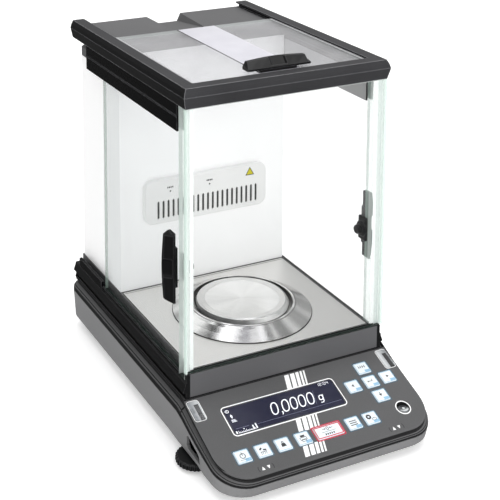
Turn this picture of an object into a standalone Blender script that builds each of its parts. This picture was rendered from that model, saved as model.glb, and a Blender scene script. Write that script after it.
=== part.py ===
"""Analytical balance with a glass draft shield, an internal weigh cell and a sloped
control panel.

Frame of the finished model: X to the right, Y to the rear, Z up.  Z = 0 is the table
top, X = 0 is the plane of symmetry of the housing, Y = 0 is the middle of the base.
Lengths below are millimetres in drawing coordinates, whose Y axis starts at ORIGIN_Y
of the finished model's base; `finish` scales them by MM and shifts them by SHIFT.
Boxes are given as x0, x1, y0, y1, z0, z1.
"""
import bpy
import bmesh
from math import sin, cos, tan, pi, radians
from mathutils import Matrix, Vector

MM = 0.001
SIDES = (("left", -1), ("right", 1))

# ---------------------------------------------------------------- shared dimensions
WALL = 2.5
GAP = 0.3                    # clearance between neighbouring pieces

BASE_HALF_W = 106.8          # half width of the base at the seam
BASE_FRONT, BASE_REAR = -172.8, 178.0
ORIGIN_Y = (BASE_FRONT + BASE_REAR) / 2
SHIFT = Vector((0.0, -ORIGIN_Y, 0.0))

PANEL_TILT = radians(19.5)
PANEL_FALL = tan(PANEL_TILT)
PANEL_FOOT_Y, PANEL_FOOT_Z = -88.0, 52.3   # upper, rear edge of the sloped panel

PLINTH_TOP = 74.5
LEDGE_Z = 67.0               # ledges that carry the side door guides
PAN_X, PAN_Y, PAN_TOP = 0.0, -4.0, 86.2
WHEEL_X, WHEEL_Y = 97.5, -100.0

FLOOR_HALF_W, FLOOR_FRONT, FLOOR_REAR = 91.7, -81.2, 75.7
FLOOR_RECESS_Z = 73.2
FLOOR_T = 1.3
FLOOR_TOP = FLOOR_RECESS_Z + GAP + FLOOR_T

FRAME_TOP, FRAME_BOTTOM = 329.1, 311.3
COLUMN_HALF_W = 92.0
COLUMN_FRONT, COLUMN_REAR, COLUMN_TOP = 76.0, 174.0, 291.0


# ---------------------------------------------------------------- mesh helpers
def solid(add, *args, **kwargs):
    """A new bmesh holding the one shape made by an add_... function."""
    bm = bmesh.new()
    add(bm, *args, **kwargs)
    return bm


def add_box(bm, x0, x1, y0, y1, z0, z1):
    for v in bmesh.ops.create_cube(bm, size=1.0)["verts"]:
        v.co = Vector((x0 + (v.co.x + 0.5) * (x1 - x0),
                       y0 + (v.co.y + 0.5) * (y1 - y0),
                       z0 + (v.co.z + 0.5) * (z1 - z0)))


def side_span(side, inner, outer):
    """x0, x1 of a span between two distances from the plane of symmetry."""
    return sorted((side * inner, side * outer))


def add_prism(bm, outline, to_3d, depth):
    """Extrudes a closed outline; to_3d(u, v, w) maps it with w from 0 to depth."""
    face = bm.faces.new([bm.verts.new(to_3d(u, v, 0.0)) for u, v in outline])
    extruded = bmesh.ops.extrude_face_region(bm, geom=[face])["geom"]
    top = [item for item in extruded if isinstance(item, bmesh.types.BMVert)]
    delta = Vector(to_3d(0, 0, depth)) - Vector(to_3d(0, 0, 0))
    bmesh.ops.translate(bm, verts=top, vec=delta)


def along_x(x0):
    """Prism mapping: the outline is (y, z), extruded from x0."""
    return lambda u, v, w: (x0 + w, u, v)


def along_y(y0):
    """Prism mapping: the outline is (x, z), extruded from y0."""
    return lambda u, v, w: (u, y0 + w, v)


def along_z(z0):
    """Prism mapping: the outline is (x, y), extruded from z0."""
    return lambda u, v, w: (u, v, z0 + w)


def add_loft(bm, loops, creases=(None, None)):
    """Joins loops of equal length and caps both ends.  A cap creased at two indices is
    two flat faces; the crease "ladder" is a strip between the right and left points."""
    rows = [[bm.verts.new(p) for p in loop] for loop in loops]
    n = len(rows[0])
    for a, b in zip(rows, rows[1:]):
        for i in range(n):
            j = (i + 1) % n
            bm.faces.new((a[i], a[j], b[j], b[i]))
    for row, crease in ((rows[0], creases[0]), (rows[-1], creases[1])):
        if crease is None:
            bm.faces.new(row)
        elif crease == "ladder":
            for k in range(n // 2 - 1):
                bm.faces.new((row[k], row[k + 1], row[n - 2 - k], row[n - 1 - k]))
        else:
            i, j = crease
            bm.faces.new(row[i:j + 1])
            bm.faces.new(row[j:] + row[:i + 1])


def add_lathe(bm, profile, cx=0.0, cy=0.0, steps=48, z0=0.0):
    """Turns a profile [(radius, z)] about a vertical axis.  A profile that starts and
    ends at radius 0 makes a solid; any other is closed on itself and makes a ring."""
    is_solid = profile[0][0] == 0 and profile[-1][0] == 0
    body = profile[1:-1] if is_solid else profile
    rows = []
    for r, z in body:
        rows.append([bm.verts.new((cx + r * cos(2 * pi * k / steps),
                                   cy + r * sin(2 * pi * k / steps), z0 + z))
                     for k in range(steps)])
    pairs = list(zip(rows, rows[1:])) + ([] if is_solid else [(rows[-1], rows[0])])
    for a, b in pairs:
        for k in range(steps):
            j = (k + 1) % steps
            bm.faces.new((a[k], a[j], b[j], b[k]))
    if is_solid:
        for (_, z), row in ((profile[0], rows[0]), (profile[-1], rows[-1])):
            tip = bm.verts.new((cx, cy, z0 + z))
            for k in range(steps):
                bm.faces.new((tip, row[k], row[(k + 1) % steps]))


def add_cylinder(bm, radius, top, bottom, cx, cy, steps):
    add_lathe(bm, [(0, top), (radius, top), (radius, bottom), (0, bottom)],
              cx=cx, cy=cy, steps=steps)


def circle(radius, steps, cx, cy):
    return [(cx + radius * cos(2 * pi * k / steps), cy + radius * sin(2 * pi * k / steps))
            for k in range(steps)]


def arc(cx, cy, radius, start, segments):
    """Points of a quarter circle, counter-clockwise from `start` degrees."""
    angles = [radians(start + 90 * k / segments) for k in range(segments + 1)]
    return [(cx + radius * cos(a), cy + radius * sin(a)) for a in angles]


def rounded(x0, x1, y0, y1, r, segments):
    """Rounded rectangle, counter-clockwise, starting on the lower side."""
    return (arc(x1 - r, y0 + r, r, -90, segments) + arc(x1 - r, y1 - r, r, 0, segments)
            + arc(x0 + r, y1 - r, r, 90, segments) + arc(x0 + r, y0 + r, r, 180, segments))


def mirrored(half):
    """Closes the right half of an outline with its mirror image."""
    return half + [(-x, y) for x, y in reversed(half)]


# ---------------------------------------------------------------- object helpers
def finish(name, bm, mat, origin=(0, 0, 0), smooth=None, parent=None):
    """Turns a bmesh in millimetres into an object whose origin is `origin` (mm).
    An object with no parent is moved so that Y = 0 is the middle of the base."""
    bmesh.ops.recalc_face_normals(bm, faces=bm.faces)
    origin = Vector(origin)
    for v in bm.verts:
        v.co = (v.co - origin) * MM
    mesh = bpy.data.meshes.new(name)
    bm.to_mesh(mesh)
    bm.free()
    if mat:
        mesh.materials.append(mat)
    if smooth is not None:
        mesh.shade_smooth()
        mesh.set_sharp_from_angle(angle=radians(smooth))
    obj = bpy.data.objects.new(name, mesh)
    bpy.context.scene.collection.objects.link(obj)
    obj.location = (origin if parent else origin + SHIFT) * MM
    if parent:
        obj.parent = parent
    return obj


def boolean(target, name, bm, operation, parent=None):
    """Makes a hidden helper from bm and applies it to target by a modifier."""
    tool = finish(name, bm, None, parent=parent)
    tool.hide_render = True
    tool.display_type = "WIRE"
    mod = target.modifiers.new(name, "BOOLEAN")
    mod.operation = operation
    mod.object = tool
    mod.solver = "EXACT"
    return tool


def cut(target, name, bm, parent=None):
    return boolean(target, name, bm, "DIFFERENCE", parent)


def join(target, name, bm):
    return boolean(target, name, bm, "UNION")


def bevel(obj, width, segments):
    mod = obj.modifiers.new("edge", "BEVEL")
    mod.width = width * MM
    mod.segments = segments
    mod.limit_method = "ANGLE"
    mod.angle_limit = radians(35)


# ---------------------------------------------------------------- clean scene
for old in list(bpy.data.objects):
    bpy.data.objects.remove(old, do_unlink=True)


# ---------------------------------------------------------------- materials
def material(name, colour, rough, metal=0.0, alpha=1.0):
    mat = bpy.data.materials.new(name)
    mat.use_nodes = True
    inputs = mat.node_tree.nodes["Principled BSDF"].inputs
    inputs["Base Color"].default_value = (*colour, 1.0)
    inputs["Roughness"].default_value = rough
    inputs["Metallic"].default_value = metal
    inputs["Alpha"].default_value = alpha
    return mat


GREY = material("housing_grey", colour=(0.115, 0.117, 0.12), rough=0.5)
BLACK = material("guide_black", colour=(0.012, 0.012, 0.013), rough=0.42)
WHITE = material("housing_white", colour=(0.82, 0.83, 0.83), rough=0.4)
GLASS = material("shield_glass", colour=(0.86, 0.95, 0.92), rough=0.03, alpha=0.3)
STEEL = material("brushed_steel", colour=(0.62, 0.62, 0.60), rough=0.33, metal=1.0)
POLISHED = material("polished_steel", colour=(0.72, 0.72, 0.71), rough=0.12, metal=1.0)
RUBBER = material("rubber", colour=(0.02, 0.02, 0.02), rough=0.8)
LENS = material("dark_lens", colour=(0.01, 0.011, 0.022), rough=0.12)
KEYCAP = material("key_white", colour=(0.85, 0.88, 0.9), rough=0.45)
BOARD = material("board_green", colour=(0.02, 0.13, 0.06), rough=0.5)
ALU = material("aluminium", colour=(0.6, 0.61, 0.62), rough=0.4, metal=1.0)
BRASS = material("brass", colour=(0.72, 0.53, 0.22), rough=0.28, metal=1.0)
CLEAR = material("vial_clear", colour=(0.75, 0.85, 0.45), rough=0.1, alpha=0.6)


def make_panel_axes():
    """Empty on the foot of the panel: local X right, local Y up the slope, local Z out."""
    axes = bpy.data.objects.new("panel_axes", None)
    axes.location = (Vector((0, PANEL_FOOT_Y, PANEL_FOOT_Z)) + SHIFT) * MM
    axes.rotation_euler = (PANEL_TILT, 0, 0)
    bpy.context.scene.collection.objects.link(axes)
    return axes


panel = make_panel_axes()

# ---------------------------------------------------------------- outline of the base
BASE_R_FRONT, BASE_R_REAR = 28.0, 12.0
BASE_SEG_FRONT, BASE_SEG_REAR = 10, 4
UNDERSIDE, UNDERSIDE_FRONT = 10.0, 6.8    # underside of the tub above the table
SHELF_Z, SHELF_FRONT = 56.0, -84.0        # shoulder beside the plinth
SHELF_FALL = 0.45                         # slope of the shoulder in front of the shelf
PANEL_EDGE_INSET = 3.2                    # front edge of the panel behind the seam

# seam between the two housings, from the rear to the front: y, z
SEAM_CURVE = ((178.0, 39.7), (-80.0, 39.7), (-91.0, 37.0), (-104.0, 32.6), (-125.0, 26.2),
              (-145.0, 21.9), (-172.8, 16.2))
# y of the outline points along the straight side wall
SIDE_STOPS = (-130.0, -118.0, -104.0, -91.0, PANEL_FOOT_Y, SHELF_FRONT, -80.0, -62.0)


def seam(y):
    """Height of the seam: straight pieces between the points of its curve."""
    for (y1, z1), (y0, z0) in zip(SEAM_CURVE, SEAM_CURVE[1:]):
        if y >= y0:
            return z0 + (z1 - z0) * (y - y0) / (y1 - y0)
    return SEAM_CURVE[-1][1]


def underside(y):
    """Height of the underside: it drops towards the front in two ramps."""
    rear_ramp = min(max((-62.0 - y) / 18.0, 0.0), 1.0)
    front_ramp = min(max((-118.0 - y) / 12.0, 0.0), 1.0)
    return UNDERSIDE + (UNDERSIDE_FRONT - UNDERSIDE) * (rear_ramp * 0.35 + front_ramp * 0.65)


def panel_z(y):
    return PANEL_FOOT_Z - PANEL_FALL * (PANEL_FOOT_Y - y)


def rim(y):
    """Upper edge of the side wall: a shoulder that runs down into the panel."""
    if y >= SHELF_FRONT:
        return SHELF_Z
    return max(panel_z(y), SHELF_Z - SHELF_FALL * (SHELF_FRONT - y))


def base_loop(inset, front_inset, z_of):
    """Plan outline of the base, inset from the seam outline, at height z_of(y)."""
    half_w, front, rear = BASE_HALF_W - inset, BASE_FRONT + front_inset, BASE_REAR - inset
    r_front, r_rear = BASE_R_FRONT - 0.6 * inset, max(BASE_R_REAR - inset, 2.0)
    half = arc(half_w - r_front, front + r_front, r_front, -90, BASE_SEG_FRONT)
    half += [(half_w, y) for y in SIDE_STOPS]
    half += arc(half_w - r_rear, rear - r_rear, r_rear, 0, BASE_SEG_REAR)
    return [(x, y, z_of(y)) for x, y in mirrored(half)]


def base_crease(y):
    """Indices of the two side points of a base loop at y."""
    half_count = BASE_SEG_FRONT + 1 + len(SIDE_STOPS) + BASE_SEG_REAR + 1
    right = BASE_SEG_FRONT + 1 + SIDE_STOPS.index(y)
    return right, 2 * half_count - 1 - right


# ---------------------------------------------------------------- lower housing
SEAM_HALF_GAP = GAP / 2
# finger window in the side wall above a levelling wheel: y, z
FINGER_WINDOW = [(-123.5, 14.0), (-120.0, 13.6), (-101.5, 15.6), (-98.6, 18.6),
                 (-100.5, 27.6), (-104.0, 28.6), (-120.5, 22.9), (-123.0, 21.0)]
FINGER_WINDOW_X0, FINGER_WINDOW_X1 = 98.0, 112.0
STUD_BORE_R = 4.4

# rear sockets
SOCKET_CLEARANCE = 0.4       # between a socket and its opening in the rear wall
SOCKET_Y, SOCKET_DEPTH = 163.0, 14.6
SOCKET_CUT_Y, SOCKET_CUT_DEPTH = 170.0, 12.0
POWER_X, POWER_Z, POWER_R = 62, 25, 6.6
PORT_X0, PORT_X1, PORT_Z0, PORT_Z1, PORT_R = 12.9, 45.1, 18.8, 31.2, 1.6


def port_outline(grow):
    return rounded(PORT_X0 - grow, PORT_X1 + grow, PORT_Z0 - grow, PORT_Z1 + grow,
                   PORT_R + grow, 2)


def build_base_tub():
    """Open tub whose rim falls towards the front."""
    def seam_edge(y):
        return seam(y) - SEAM_HALF_GAP

    bm = solid(add_loft, [
        base_loop(3.0, 3.0, underside),
        base_loop(1.9, 1.7, lambda y: underside(y) + 1.4),
        base_loop(0.0, 0.0, seam_edge),
        base_loop(2.6, 2.6, seam_edge),
        base_loop(4.4, 4.4, lambda y: underside(y) + 2.4),
    ], creases=("ladder", "ladder"))
    tub = finish("base_tub", bm, GREY, smooth=40)

    bm = bmesh.new()
    for _, side in SIDES:
        add_cylinder(bm, STUD_BORE_R, 16.0, 5.0, side * WHEEL_X, WHEEL_Y, steps=16)
    for _, side in SIDES:
        x0, x1 = side_span(side, FINGER_WINDOW_X0, FINGER_WINDOW_X1)
        add_prism(bm, FINGER_WINDOW, along_x(x0), x1 - x0)
    add_prism(bm, circle(POWER_R + SOCKET_CLEARANCE, 16, POWER_X, POWER_Z),
              along_y(SOCKET_CUT_Y), SOCKET_CUT_DEPTH)
    add_prism(bm, port_outline(SOCKET_CLEARANCE), along_y(SOCKET_CUT_Y), SOCKET_CUT_DEPTH)
    cut(tub, "tub_cutter", bm)


build_base_tub()

# ---------------------------------------------------------------- upper housing
# side band, shadow cove and shoulder: inset, front inset, share of the height from
# the seam to the rim
COVER_LEVELS = (
    (0.0, 0.0, 0.0), (0.3, 0.3, 0.28), (1.3, 0.7, 0.31), (1.6, 1.1, 0.40), (4.2, 1.6, 0.50),
    (4.9, 2.0, 0.62), (3.2, 2.3, 0.80), (1.9, 2.6, 0.90), (2.4, PANEL_EDGE_INSET, 1.0),
)
PLINTH_HALF_W, PLINTH_REAR = 100.2, 176.0
# right half of the plinth section, with a flared side: x, z
PLINTH_HALF = [(101.0, 48.0), (101.0, 57.6), (103.4, 58.4), (103.0, 60.6), (101.7, 63.6),
               (101.2, 66.4), (PLINTH_HALF_W, 67.2), (PLINTH_HALF_W, PLINTH_TOP)]
VOID_HALF_W, VOID_FRONT, VOID_REAR = 98.6, -166.5, 172.5
VOID_R_FRONT, VOID_R_REAR = 24.0, 8.0
VOID_SEG_FRONT, VOID_SEG_REAR = 6, 3
LEDGE_X = 92.8


def void_loop(z_of):
    """Plan outline of the hollow inside the base, at height z_of(y)."""
    half = arc(VOID_HALF_W - VOID_R_FRONT, VOID_FRONT + VOID_R_FRONT, VOID_R_FRONT,
               -90, VOID_SEG_FRONT)
    half.append((VOID_HALF_W, PANEL_FOOT_Y))
    half += arc(VOID_HALF_W - VOID_R_REAR, VOID_REAR - VOID_R_REAR, VOID_R_REAR,
                0, VOID_SEG_REAR)
    return [(x, y, z_of(y)) for x, y in mirrored(half)]


def build_base_cover():
    """Side band, sloped panel and plinth, hollowed from below."""
    def level(share):
        return lambda y: (seam(y) + SEAM_HALF_GAP
                          + share * (rim(y) - seam(y) - SEAM_HALF_GAP))

    loops = [base_loop(inset, front, level(share)) for inset, front, share in COVER_LEVELS]
    loops.append(base_loop(3.8, PANEL_EDGE_INSET + 1.0,
                           lambda y: panel_z(y) if y < PANEL_FOOT_Y else PANEL_FOOT_Z))
    bm = solid(add_loft, loops, creases=("ladder", base_crease(PANEL_FOOT_Y)))
    cover = finish("base_cover", bm, GREY, smooth=35)

    join(cover, "plinth_body", solid(add_prism, mirrored(PLINTH_HALF), along_y(PANEL_FOOT_Y),
                                     PLINTH_REAR - PANEL_FOOT_Y))

    wall_drop = WALL / cos(PANEL_TILT)    # panel thickness measured along Z
    right = VOID_SEG_FRONT + 1
    half_count = right + 1 + VOID_SEG_REAR + 1
    bm = solid(add_loft, [void_loop(lambda y: -5.0),
                          void_loop(lambda y: panel_z(min(y, PANEL_FOOT_Y)) - wall_drop)],
               creases=(None, (right, 2 * half_count - 1 - right)))
    cut(cover, "void_low", bm)
    cut(cover, "void_plinth", solid(add_box, -90.0, 90.0, PANEL_FOOT_Y + WALL, 173.0,
                                    45.0, FLOOR_RECESS_Z - WALL))

    # ledges beside the plinth and the recess for the floor plate
    bm = bmesh.new()
    for _, side in SIDES:
        add_box(bm, *side_span(side, LEDGE_X, 112.0), -84.0, 190.0, LEDGE_Z, 90.0)
    add_box(bm, -92.0, 92.0, FLOOR_FRONT - GAP, FLOOR_REAR + GAP, FLOOR_RECESS_Z, 90.0)
    cut(cover, "chamber_cutter", bm)
    cut(cover, "pan_bore_cutter", solid(add_cylinder, 15.0, 80.0, 60.0, PAN_X, PAN_Y, steps=32))
    return cover


base_cover = build_base_cover()

# ---------------------------------------------------------------- panel openings and pieces
# Places on the panel are x and the distance down the slope from the panel foot.
KEY_W, KEY_D, KEY_T = 13.4, 12.2, 2.2
KEY_PROUD = 0.5
KEY_ROW = 66.3
# key: x, distance down the slope, width
KEYS = {
    "key_power": (-79.6, KEY_ROW, KEY_W), "key_clean": (-60.2, KEY_ROW, KEY_W),
    "key_calibrate": (-40.9, KEY_ROW, KEY_W), "key_print": (-21.3, KEY_ROW, KEY_W),
    "key_tare": (4.0, KEY_ROW, 26.2), "key_menu": (29.4, KEY_ROW, KEY_W),
    "key_settings": (47.6, KEY_ROW, KEY_W), "key_unit": (70.2, 16.4, KEY_W),
    "key_left": (50.9, 32.0, KEY_W), "key_enter": (69.6, 32.0, KEY_W),
    "key_right": (87.8, 31.8, KEY_W), "key_down": (70.3, 48.0, KEY_W),
}
DISPLAY_X0, DISPLAY_X1, DISPLAY_S0, DISPLAY_S1 = -76.4, 35.6, 17.9, 46.6
# sensor window: x0, x1
SENSORS = {"sensor_window_left": (-102.2, -92.0), "sensor_window_right": (92.8, 103.0)}
SENSOR_S0, SENSOR_S1 = 3.2, 23.4
SENSOR_DEPTH = 1.0
LEVEL_X, LEVEL_S = 82.4, 65.4


def display_outline(grow):
    return rounded(DISPLAY_X0 - grow, DISPLAY_X1 + grow, -DISPLAY_S1 - grow,
                   -DISPLAY_S0 + grow, 3.0 + grow, 4)


def sensor_outline(x0, x1, grow):
    return rounded(x0 - grow, x1 + grow, -SENSOR_S1 - grow, -SENSOR_S0 + grow, 2.0 + grow, 3)


def cut_panel_openings():
    bm = bmesh.new()
    for x, s, w in KEYS.values():
        add_prism(bm, rounded(x - w / 2 - GAP, x + w / 2 + GAP,
                              -s - KEY_D / 2 - GAP, -s + KEY_D / 2 + GAP, 1.1, 2),
                  along_z(-6.0), 12.0)
    add_prism(bm, display_outline(GAP), along_z(-6.0), 12.0)
    cut(base_cover, "panel_cutter", bm, parent=panel)
    bm = bmesh.new()
    for x0, x1 in SENSORS.values():
        add_prism(bm, sensor_outline(x0, x1, GAP), along_z(-SENSOR_DEPTH - GAP), 8.0)
    cut(base_cover, "sensor_cutter", bm, parent=panel)


def build_key(name, x, s, w):
    bm = solid(add_prism, rounded(-w / 2, w / 2, -KEY_D / 2, KEY_D / 2, 0.9, 2),
               along_z(KEY_PROUD - KEY_T), KEY_T)
    key = finish(name, bm, KEYCAP, parent=panel)
    key.location = Vector((x, -s, 0)) * MM
    bevel(key, width=0.35, segments=1)


def build_display():
    finish("display_window", solid(add_prism, display_outline(0), along_z(-2.0), 2.2),
           LENS, parent=panel)
    bm = solid(add_box, DISPLAY_X0 + 1, DISPLAY_X1 - 1, -DISPLAY_S1 + 0.5, -DISPLAY_S0 - 0.5,
               -6.2, -2.4)
    finish("display_module", bm, ALU, parent=panel)


def build_sensor_window(name, x0, x1):
    bm = solid(add_prism, sensor_outline(x0, x1, 0), along_z(-SENSOR_DEPTH), 1.3)
    finish(name, bm, LENS, parent=panel)


def build_panel_board():
    finish("panel_board", solid(add_box, -88, 92, -73.0, -8.0, -9.0, -7.4), BOARD, parent=panel)


def build_level_vial():
    """Spirit level: it stands upright, so it stays horizontal in the sloped panel."""
    y = PANEL_FOOT_Y - LEVEL_S * cos(PANEL_TILT)
    z = PANEL_FOOT_Z - LEVEL_S * sin(PANEL_TILT)
    profile = [(0, 0.0), (4.0, 0.0), (5.0, -0.5), (5.3, -1.2), (5.3, -4.6), (0, -4.6)]
    bm = solid(add_lathe, profile, cx=LEVEL_X, cy=y, z0=z - 0.6, steps=32)
    finish("level_vial", bm, CLEAR, smooth=40)
    cut(base_cover, "level_cutter",
        solid(add_cylinder, 5.9, z + 9.0, z - 9.0, LEVEL_X, y, steps=32))


cut_panel_openings()
for key_name, place in KEYS.items():
    build_key(key_name, *place)
build_display()
for window_name, span in SENSORS.items():
    build_sensor_window(window_name, *span)
build_panel_board()
build_level_vial()

# ---------------------------------------------------------------- feet
WHEEL_R, WHEEL_Z0, WHEEL_Z1 = 17.8, 2.4, 8.1
WHEEL_TEETH, TOOTH_DEPTH = 30, 0.9
WHEEL_CHAMFER_R, WHEEL_CHAMFER_Z = 1.0, 0.8
REAR_FOOT_X, REAR_FOOT_Y = 84.0, 150.0
# turned profiles: radius, z
STUD_PROFILE = [(0, 28.0), (3.2, 28.0), (3.9, 27.0), (3.9, 6.0), (0, 6.0)]
PAD_PROFILE = [(0, 1.9), (10.5, 1.9), (11.5, 0.9), (11.0, 0.0), (0, 0.0)]
REAR_FOOT_PROFILE = [(0, 9.7), (9.5, 9.7), (9.5, 1.2), (8.3, 0.0), (0, 0.0)]


def toothed_loop(cx, r, z):
    """Outline of the wheel: every other point is set in by the depth of a tooth."""
    loop = []
    for k in range(2 * WHEEL_TEETH):
        a = pi * k / WHEEL_TEETH
        r_point = r - (TOOTH_DEPTH if k % 2 else 0.0)
        loop.append((cx + r_point * cos(a), WHEEL_Y + r_point * sin(a), z))
    return loop


def build_feet(name, side):
    """Levelling wheel with its stud and pad at the front, plain foot at the rear."""
    cx = side * WHEEL_X
    levels = ((WHEEL_R - WHEEL_CHAMFER_R, WHEEL_Z0), (WHEEL_R, WHEEL_Z0 + WHEEL_CHAMFER_Z),
              (WHEEL_R, WHEEL_Z1 - WHEEL_CHAMFER_Z), (WHEEL_R - WHEEL_CHAMFER_R, WHEEL_Z1))
    bm = solid(add_loft, [toothed_loop(cx, r, z) for r, z in levels])
    wheel = finish("foot_wheel_" + name, bm, BLACK, origin=(cx, WHEEL_Y, 0))
    join(wheel, "stud_" + name, solid(add_lathe, STUD_PROFILE, cx=cx, cy=WHEEL_Y, steps=16))
    bm = solid(add_lathe, PAD_PROFILE, cx=cx, cy=WHEEL_Y, steps=24)
    finish("foot_pad_" + name, bm, RUBBER, origin=(cx, WHEEL_Y, 0), smooth=40)
    bm = solid(add_lathe, REAR_FOOT_PROFILE, cx=side * REAR_FOOT_X, cy=REAR_FOOT_Y, steps=24)
    finish("rear_foot_" + name, bm, RUBBER, smooth=40)


for side_name, side_sign in SIDES:
    build_feet(side_name, side_sign)

# ---------------------------------------------------------------- chamber floor, ring, pan
RING_Z0, RING_TOP = FLOOR_TOP + GAP, 84.0
RING_R_BOTTOM, RING_R_TOP, RING_R_INNER = 66.5, 50.2, 48.6
PAN_R = 45.5
# section of the draft ring: radius, z
RING_PROFILE = [
    (RING_R_BOTTOM, RING_Z0), (RING_R_BOTTOM, RING_Z0 + 0.7), (60.0, RING_Z0 + 3.8),
    (54.0, RING_Z0 + 6.9), (51.4, RING_TOP - 0.5), (RING_R_TOP, RING_TOP),
    (RING_R_INNER, RING_TOP - 0.2), (RING_R_INNER, RING_TOP - 1.2), (50.2, RING_TOP - 1.6),
    (53.0, RING_Z0 + 5.6), (59.0, RING_Z0 + 2.6), (65.0, RING_Z0),
]
# section of the pan: radius, z from PAN_TOP
PAN_PROFILE = [
    (0, -0.8), (34.8, -0.8), (35.8, -0.4), (41.2, 0.0), (42.8, -0.6), (44.5, -2.4),
    (PAN_R, -3.9), (PAN_R, -4.5), (44.4, -4.5), (43.3, -3.1), (41.4, -1.7), (10.0, -1.8),
    (9.6, -5.0), (6.3, -5.0), (6.3, -1.9), (0, -1.9),
]


def build_floor_plate():
    outline = rounded(-FLOOR_HALF_W, FLOOR_HALF_W, FLOOR_FRONT, FLOOR_REAR, 1.5, 1)
    plate = finish("floor_plate",
                   solid(add_prism, outline, along_z(FLOOR_RECESS_Z + GAP), FLOOR_T), STEEL)
    cut(plate, "floor_bore_cutter", solid(add_cylinder, 12.5, 80.0, 70.0, PAN_X, PAN_Y, steps=32))


def build_draft_ring():
    bm = solid(add_lathe, RING_PROFILE, cx=PAN_X, cy=PAN_Y, steps=56)
    finish("draft_ring", bm, POLISHED, origin=(PAN_X, PAN_Y, RING_Z0), smooth=40)


def build_weighing_pan():
    bm = solid(add_lathe, PAN_PROFILE, cx=PAN_X, cy=PAN_Y, z0=PAN_TOP, steps=56)
    finish("weighing_pan", bm, STEEL, origin=(PAN_X, PAN_Y, PAN_TOP), smooth=40)


build_floor_plate()
build_draft_ring()
build_weighing_pan()

# ---------------------------------------------------------------- weigh cell
SUPPORT_FOOT_Z = 47.5
# spindle under the pan: radius, z
SUPPORT_PROFILE = [
    (0, PAN_TOP - 2.2), (4.6, PAN_TOP - 2.2), (6.0, PAN_TOP - 4.2), (6.0, PAN_TOP - 6.4),
    (4.0, PAN_TOP - 8.4), (4.0, 53.5), (8.0, 51.5), (8.0, SUPPORT_FOOT_Z), (0, SUPPORT_FOOT_Z),
]
CELL_FRAME_BOX = (-34, 34, -48, 78, 13.0, 46.0)
BEAM_POCKET_BOX = (-12, 12, -60, 70, 24.0, 60.0)
MAGNET_POCKET_BOX = (-26, 26, 44, 70.2, 20.0, 60.0)
BEAM_BOX = (-7, 7, -12, 52, 41.0, 47.0)
BEAM_PIVOT_Y, BEAM_PIVOT_Z = 16.0, 44.0
MAGNET_Y = 57.0
MAGNET_PROFILE = [(0, 20.4), (12.4, 20.4), (12.4, 35.6), (11.0, 36.4), (0, 36.4)]


def build_pan_support():
    bm = solid(add_lathe, SUPPORT_PROFILE, cx=PAN_X, cy=PAN_Y, steps=24)
    finish("pan_support", bm, ALU, origin=(PAN_X, PAN_Y, SUPPORT_FOOT_Z), smooth=40)


def build_cell_frame():
    """Block with a pocket for the beam, open to the front, and one for the magnet."""
    frame = finish("load_cell_frame", solid(add_box, *CELL_FRAME_BOX), ALU)
    cut(frame, "beam_pocket_cutter", solid(add_box, *BEAM_POCKET_BOX))
    cut(frame, "magnet_pocket_cutter", solid(add_box, *MAGNET_POCKET_BOX))
    return frame


def build_beam():
    """Beam with the force coil above the magnet pot."""
    beam = finish("load_cell_beam", solid(add_box, *BEAM_BOX), ALU,
                  origin=(0, BEAM_PIVOT_Y, BEAM_PIVOT_Z))
    join(beam, "coil_body", solid(add_cylinder, 9.0, 45.0, 37.5, 0, MAGNET_Y, steps=24))


def build_magnet_pot():
    finish("magnet_pot", solid(add_lathe, MAGNET_PROFILE, cy=MAGNET_Y, steps=32),
           STEEL, smooth=40)


build_pan_support()
load_cell_frame = build_cell_frame()
build_beam()
build_magnet_pot()

# calibration weight on its lifting cam, in front of the spindle
CAM_Y, CAM_Z = -24.0, 33.0
CAM_W = 6.0
CAM_R, CAM_DROP = 7.6, 2.0   # largest radius, and its fall over the half turn
# points that close the cam behind its spiral: u, z from the cam axis, u to the front
CAM_BACK = [(-3.0, -5.0), (-4.6, -3.0), (-5.0, 0.0), (-5.2, 3.4), (-3.2, 6.2)]
SHAFT_R, SHAFT_X0, SHAFT_L = 2.2, -8.0, 48.0
CAM_BORE_R, CAM_BORE_X0, CAM_BORE_L = 2.8, -9.0, 50.0
WEIGHT_Z0 = 41.0
WEIGHT_PROFILE = [(0, 52.0), (7.2, 52.0), (8.0, 51.2), (8.0, 41.8), (7.2, WEIGHT_Z0),
                  (0, WEIGHT_Z0)]
MOTOR_BOX = (40.5, 62.0, CAM_Y - 12, CAM_Y + 12, 20.0, 46.0)


def build_calibration_weight():
    bm = solid(add_lathe, WEIGHT_PROFILE, cy=CAM_Y, steps=24)
    finish("calibration_weight", bm, POLISHED, origin=(0, CAM_Y, WEIGHT_Z0), smooth=40)


def build_calibration_cam():
    """Spiral cam on a shaft that runs through the cell frame."""
    outline = []
    for k in range(33):
        a = pi * k / 32
        r = CAM_R - CAM_DROP * a / pi
        outline.append((r * sin(a), r * cos(a)))
    bm = solid(add_prism, outline + CAM_BACK,
               lambda u, v, w: (-CAM_W / 2 + w, CAM_Y - u, CAM_Z + v), CAM_W)
    cam = finish("calibration_cam", bm, BRASS, origin=(0, CAM_Y, CAM_Z))
    join(cam, "cam_shaft", solid(add_prism, circle(SHAFT_R, 16, CAM_Y, CAM_Z),
                                 along_x(SHAFT_X0), SHAFT_L))
    cut(load_cell_frame, "cam_bore_cutter",
        solid(add_prism, circle(CAM_BORE_R, 16, CAM_Y, CAM_Z), along_x(CAM_BORE_X0), CAM_BORE_L))


def build_calibration_motor():
    motor = finish("calibration_motor", solid(add_box, *MOTOR_BOX), BLACK)
    bevel(motor, width=1.5, segments=2)


build_calibration_weight()
build_calibration_cam()
build_calibration_motor()

# ---------------------------------------------------------------- main board
BOARD_Z0, BOARD_Z1 = 15.0, 16.6
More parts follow.
